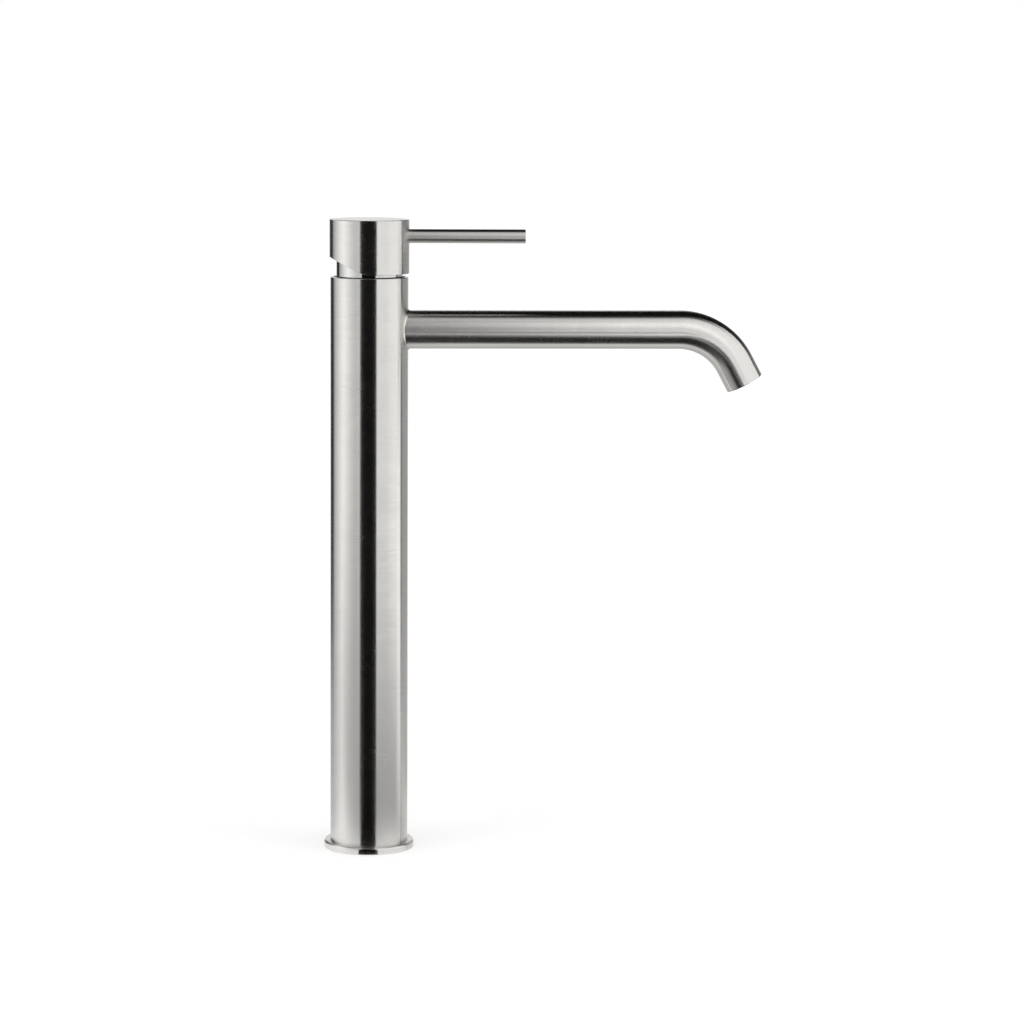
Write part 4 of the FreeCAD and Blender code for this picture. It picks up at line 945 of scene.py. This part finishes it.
def build_side_cards():
    """The bright sides, and the greys behind them."""
    left = [(-160, 0.04), (-132, 0.04), (-127, 0.42), (-108, 0.78), (-92, 1.08), (-80, 1.20), (-68, 1.06),
            (-56, 0.86), (-42, 0.70), (-27, 0.78)]
    high = [(-160, 0.76), (-132, 0.76)] + left[2:]
    standing_card("card_left", [(SIDE, height) for height in (0.0, 0.52, 0.56, SIDE_TOP)],
                  left, left, high, high)
    right = [(19.5, 0.95), (32, 0.90), (50, 1.02), (60, 1.08), (103, 1.08), (105, 0.06), (109, 0.06)]
    # Height, and there how bright in front and how bright behind. To the right it isn't brighter than most.
    rows = [(0.0, 1.65, 0.36), (0.08, 1.58, 0.36), (0.15, 0.88, 0.38), (0.26, 0.90, 0.41),
            (0.36, 0.95, 0.41), (0.42, 1.0, 0.01), (0.50, 1.5, 0.01), (0.62, 1.75, 0.01),
            (SIDE_TOP, 1.75, 0.01)]
    levels = []
    for height, part, behind in rows:
        most = 1.48 if height < 0.1 else 1.0
        front = [(bearing, level * (part if bearing < 50 else min(part, most))) for bearing, level in right]
        levels.append(front + [(111, behind), (155, behind)])
    standing_card("card_right", [(SIDE, height) for height, _, _ in rows], *levels)
    standing_card("card_back", [(SIDE, 0.0), (SIDE, SIDE_TOP)], [(155, 0.76), (200, 0.76)])


def build_floor_card():
    """The floor as the metal sees it: dark in front of the spout, lighter to the left and behind."""
    across = np.array([-0.62, -0.30, -0.16, -0.12, -0.05, -0.025, 0.025, 0.05, 0.07, 0.30, 0.42, 0.62])
    along = [-0.62, -0.45, -0.36, -0.30, -0.25, -0.09, -0.06, -0.03, 0.0, 0.04, 0.08, 0.18, 0.62]
    right = np.array([0.50, 0.42, 0.22, 0.06, 0.008, 0.004, 0.01, 0.05, 0.42, 0.70, 0.72, 0.50, 0.60])
    left = np.array([0.42, 0.40, 0.38, 0.38, 0.38, 0.50, 0.60, 0.68, 0.74, 0.74, 0.72, 0.60, 0.60])
    part = np.interp(across, [-0.12, 0.02], [0.0, 1.0])
    levels = right[:, None] * part + left[:, None] * (1 - part)
    levels[1:7, 0:3] = 0.22
    # Close to the foot on both sides, and far to the right.
    levels[6, 3:6], levels[7:9, 3:6] = 0.30, 1.0
    levels[6, 6:8], levels[7:9, 6:8] = 0.12, (0.85, 0.6)
    levels[4:7, 11] = 1.2
    card("card_floor", [[(x, y, 0.0002) for x in across] for y in along], levels)


def build_ceiling_card():
    """The dark ceiling over and behind the mixer. Its front edge is sharper to the right."""
    arch = [(-0.34, 0.82, 0.96, 1.0), (-0.22, 0.84, 0.58, 1.0), (-0.12, 0.85, 0.15, 0.9),
            (-0.04, 0.86, 0.03, 0.03), (0.04, 0.86, 0.01, 0.01), (0.12, 0.85, 0.004, 0.004),
            (0.50, 0.75, 0.004, 0.004), (0.75, 0.68, 0.004, 0.004)]
    card("card_ceiling", [[(x, y, z) for x in (-2.4, 0.20, 0.42, 2.6)] for y, z, _, _ in arch],
         np.array([[near, near, right, right] for _, _, near, right in arch]))


def seen_white(tree):
    """1 for what the camera, metal and glass see, 0 for what lights the object."""
    path = add_node(tree, "LightPath").outputs
    seen = sums(tree, "ADD", path["Is Camera Ray"], path["Is Glossy Ray"])
    return sums(tree, "ADD", seen, path["Is Transmission Ray"], use_clamp=True)


def build_world(studio):
    world = bpy.data.worlds.new("studio")
    bpy.context.scene.world = world
    tree = empty_tree(world)
    room = add_node(tree, "Background", {"Color": [studio.room_light] * 3}).outputs[0]
    white = add_node(tree, "Background", {"Color": (1.0, 1.0, 1.0)}).outputs[0]
    both = add_node(tree, "MixShader", {0: seen_white(tree), 1: room, 2: white}).outputs[0]
    add_node(tree, "OutputWorld", {"Surface": both})


def build_floor(studio):
    """A plain pale floor that clips to white beyond the object's soft shadow, open from below."""
    mesh = bpy.data.meshes.new("floor")
    far = 40.0
    mesh.from_pydata([(-far, -far, 0), (far, -far, 0), (far, far, 0), (-far, far, 0)], [], [(0, 1, 2, 3)])
    floor = add_object("floor", mesh)
    material = bpy.data.materials.new("floor")
    tree = empty_tree(material)
    colour = mixed(tree, noise(tree, place_of(tree), 3.0, 2.0), lighter(studio.floor, 0.98), studio.floor)
    paint = add_node(tree, "BsdfDiffuse", {"Color": colour}).outputs[0]
    away = add_node(tree, "VectorMath", {0: place_of(tree)}, operation="LENGTH").outputs["Value"]
    far_glow = map_range(tree, away, (0.3, 2.0), (0.36, 0.56), "SMOOTHSTEP")
    strength = sums(tree, "MULTIPLY", seen_white(tree), far_glow)
    glow = add_node(tree, "Emission", {"Strength": strength}).outputs[0]
    upper = add_node(tree, "AddShader", {0: paint, 1: glow}).outputs[0]
    clear = add_node(tree, "BsdfTransparent").outputs[0]
    below = add_node(tree, "NewGeometry").outputs["Backfacing"]
    both = add_node(tree, "MixShader", {0: below, 1: upper, 2: clear}).outputs[0]
    add_node(tree, "OutputMaterial", {"Surface": both})
    floor.data.materials.append(material)


def lamp(name, place, aim, width, height, level):
    """A soft rectangular lamp of a given brightness."""
    light = bpy.data.lights.new(name, "AREA")
    light.shape = "RECTANGLE"
    light.size, light.size_y = width, height
    light.energy = level * math.pi * width * height
    made = add_object(name, light)
    made.location = place
    made.rotation_euler = (Vector(aim) - Vector(place)).to_track_quat("-Z", "Y").to_euler()
    made.visible_glossy = False


LAMPS = (("lamp_left", (-1.5, -0.9, 0.9), (0, 0, 0.2), 1.0, 1.5),
         ("lamp_right", (1.6, -0.8, 0.9), (0, 0, 0.2), 1.0, 1.5),
         ("lamp_top", (0.1, -0.3, 1.9), (0, 0, 0.1), 1.4, 1.0))
CAMERA_PLACE = (-0.044166, -1.890007, 0.451221)
CAMERA_YAW, CAMERA_PITCH, CAMERA_ROLL = 0.0662, 0.1355, 0.0068
FOCAL_PIXELS, PICTURE_PIXELS, SENSOR = 3362.1, 1024, 36.0


def build_camera():
    """The camera at the photograph's viewing angle."""
    yaw, pitch, roll = CAMERA_YAW, CAMERA_PITCH, CAMERA_ROLL
    ahead = Vector((math.sin(yaw) * math.cos(pitch), math.cos(yaw) * math.cos(pitch), -math.sin(pitch)))
    right = Vector((math.cos(yaw), -math.sin(yaw), 0.0))
    up = right.cross(ahead)
    across = right * math.cos(roll) + up * math.sin(roll)
    above = up * math.cos(roll) - right * math.sin(roll)
    data = bpy.data.cameras.new("camera")
    data.lens = SENSOR * FOCAL_PIXELS / PICTURE_PIXELS
    data.sensor_width = SENSOR
    data.clip_start, data.clip_end = 0.05, 200.0
    camera = add_object("camera", data)
    turned = Matrix((across, above, -ahead)).transposed().to_4x4()
    turned.translation = CAMERA_PLACE
    camera.matrix_world = turned
    bpy.context.scene.camera = camera


def build_studio(studio):
    bpy.context.scene.view_settings.view_transform = "Standard"
    build_world(studio)
    build_floor(studio)
    for each in LAMPS:
        lamp(*each, studio.lamp_level)
    build_front_cards()
    build_side_cards()
    build_floor_card()
    build_ceiling_card()
    build_camera()


# ---------------------------------------------------------------- operators and panel
class MIXER_OT_column(bpy.types.Operator):
    """Build the brushed column with the hole for the spout"""

    bl_idname = "mixer.column"
    bl_label = "Column"
    bl_options = {"REGISTER", "UNDO"}

    def execute(self, context):
        build_column(context.scene.mixer_sizes)
        return {"FINISHED"}


class MIXER_OT_foot(bpy.types.Operator):
    """Build the foot: flange, ribbed gasket and threaded plug"""

    bl_idname = "mixer.foot"
    bl_label = "Foot"
    bl_options = {"REGISTER", "UNDO"}

    def execute(self, context):
        build_foot(context.scene.mixer_sizes)
        return {"FINISHED"}


class MIXER_OT_spout(bpy.types.Operator):
    """Build the bent spout with the dressed bead at its root"""

    bl_idname = "mixer.spout"
    bl_label = "Spout"
    bl_options = {"REGISTER", "UNDO"}

    def execute(self, context):
        build_spout(context.scene.mixer_sizes)
        return {"FINISHED"}


class MIXER_OT_sleeve(bpy.types.Operator):
    """Build the polished sleeve under the handle"""

    bl_idname = "mixer.sleeve"
    bl_label = "Sleeve"
    bl_options = {"REGISTER", "UNDO"}

    def execute(self, context):
        build_sleeve(context.scene.mixer_sizes)
        return {"FINISHED"}


class MIXER_OT_handle(bpy.types.Operator):
    """Build the handle's cap and its pin lever"""

    bl_idname = "mixer.handle"
    bl_label = "Handle and lever"
    bl_options = {"REGISTER", "UNDO"}

    def execute(self, context):
        build_cap(context.scene.mixer_sizes)
        build_lever(context.scene.mixer_sizes)
        return {"FINISHED"}


class MIXER_OT_inside(bpy.types.Operator):
    """Finish the cartridge, valve block, seals, supply tubes and aerator"""

    bl_idname = "mixer.inside"
    bl_label = "Inner pieces"
    bl_options = {"REGISTER", "UNDO"}

    def execute(self, context):
        finish_inner_pieces()
        return {"FINISHED"}


class MIXER_OT_studio(bpy.types.Operator):
    """Set up the floor, world, lamps, cards and camera"""

    bl_idname = "mixer.studio"
    bl_label = "Studio"
    bl_options = {"REGISTER", "UNDO"}

    def execute(self, context):
        build_studio(context.scene.mixer_studio)
        return {"FINISHED"}


STEPS = (MIXER_OT_column, MIXER_OT_foot, MIXER_OT_spout, MIXER_OT_sleeve, MIXER_OT_handle, MIXER_OT_inside,
         MIXER_OT_studio)
SETTINGS = {"mixer_sizes": MixerSizes, "mixer_finish": MixerFinish, "mixer_studio": MixerStudio}


class MIXER_PT_panel(bpy.types.Panel):
    """The mixer's steps, sizes and finishes in the sidebar"""

    bl_idname = "MIXER_PT_panel"
    bl_label = "Basin Mixer"
    bl_space_type = "VIEW_3D"
    bl_region_type = "UI"
    bl_category = "Mixer"

    def draw(self, context):
        for step in STEPS:
            self.layout.operator(step.bl_idname)
        for name in SETTINGS:
            settings, box = getattr(context.scene, name), self.layout.box()
            box.label(text=name.removeprefix("mixer_").title())
            for each in settings.__annotations__:
                box.prop(settings, each)


CLASSES = (*SETTINGS.values(), *STEPS, MIXER_PT_panel)


def register():
    for each in CLASSES:
        bpy.utils.register_class(each)
    for name, settings in SETTINGS.items():
        setattr(bpy.types.Scene, name, bpy.props.PointerProperty(type=settings))


def unregister():
    for name in SETTINGS:
        delattr(bpy.types.Scene, name)
    for each in reversed(CLASSES):
        bpy.utils.unregister_class(each)


def main():
    register()
    for step in STEPS:
        area, name = step.bl_idname.split(".")
        getattr(getattr(bpy.ops, area), name)()


if __name__ == "__main__":
    main()
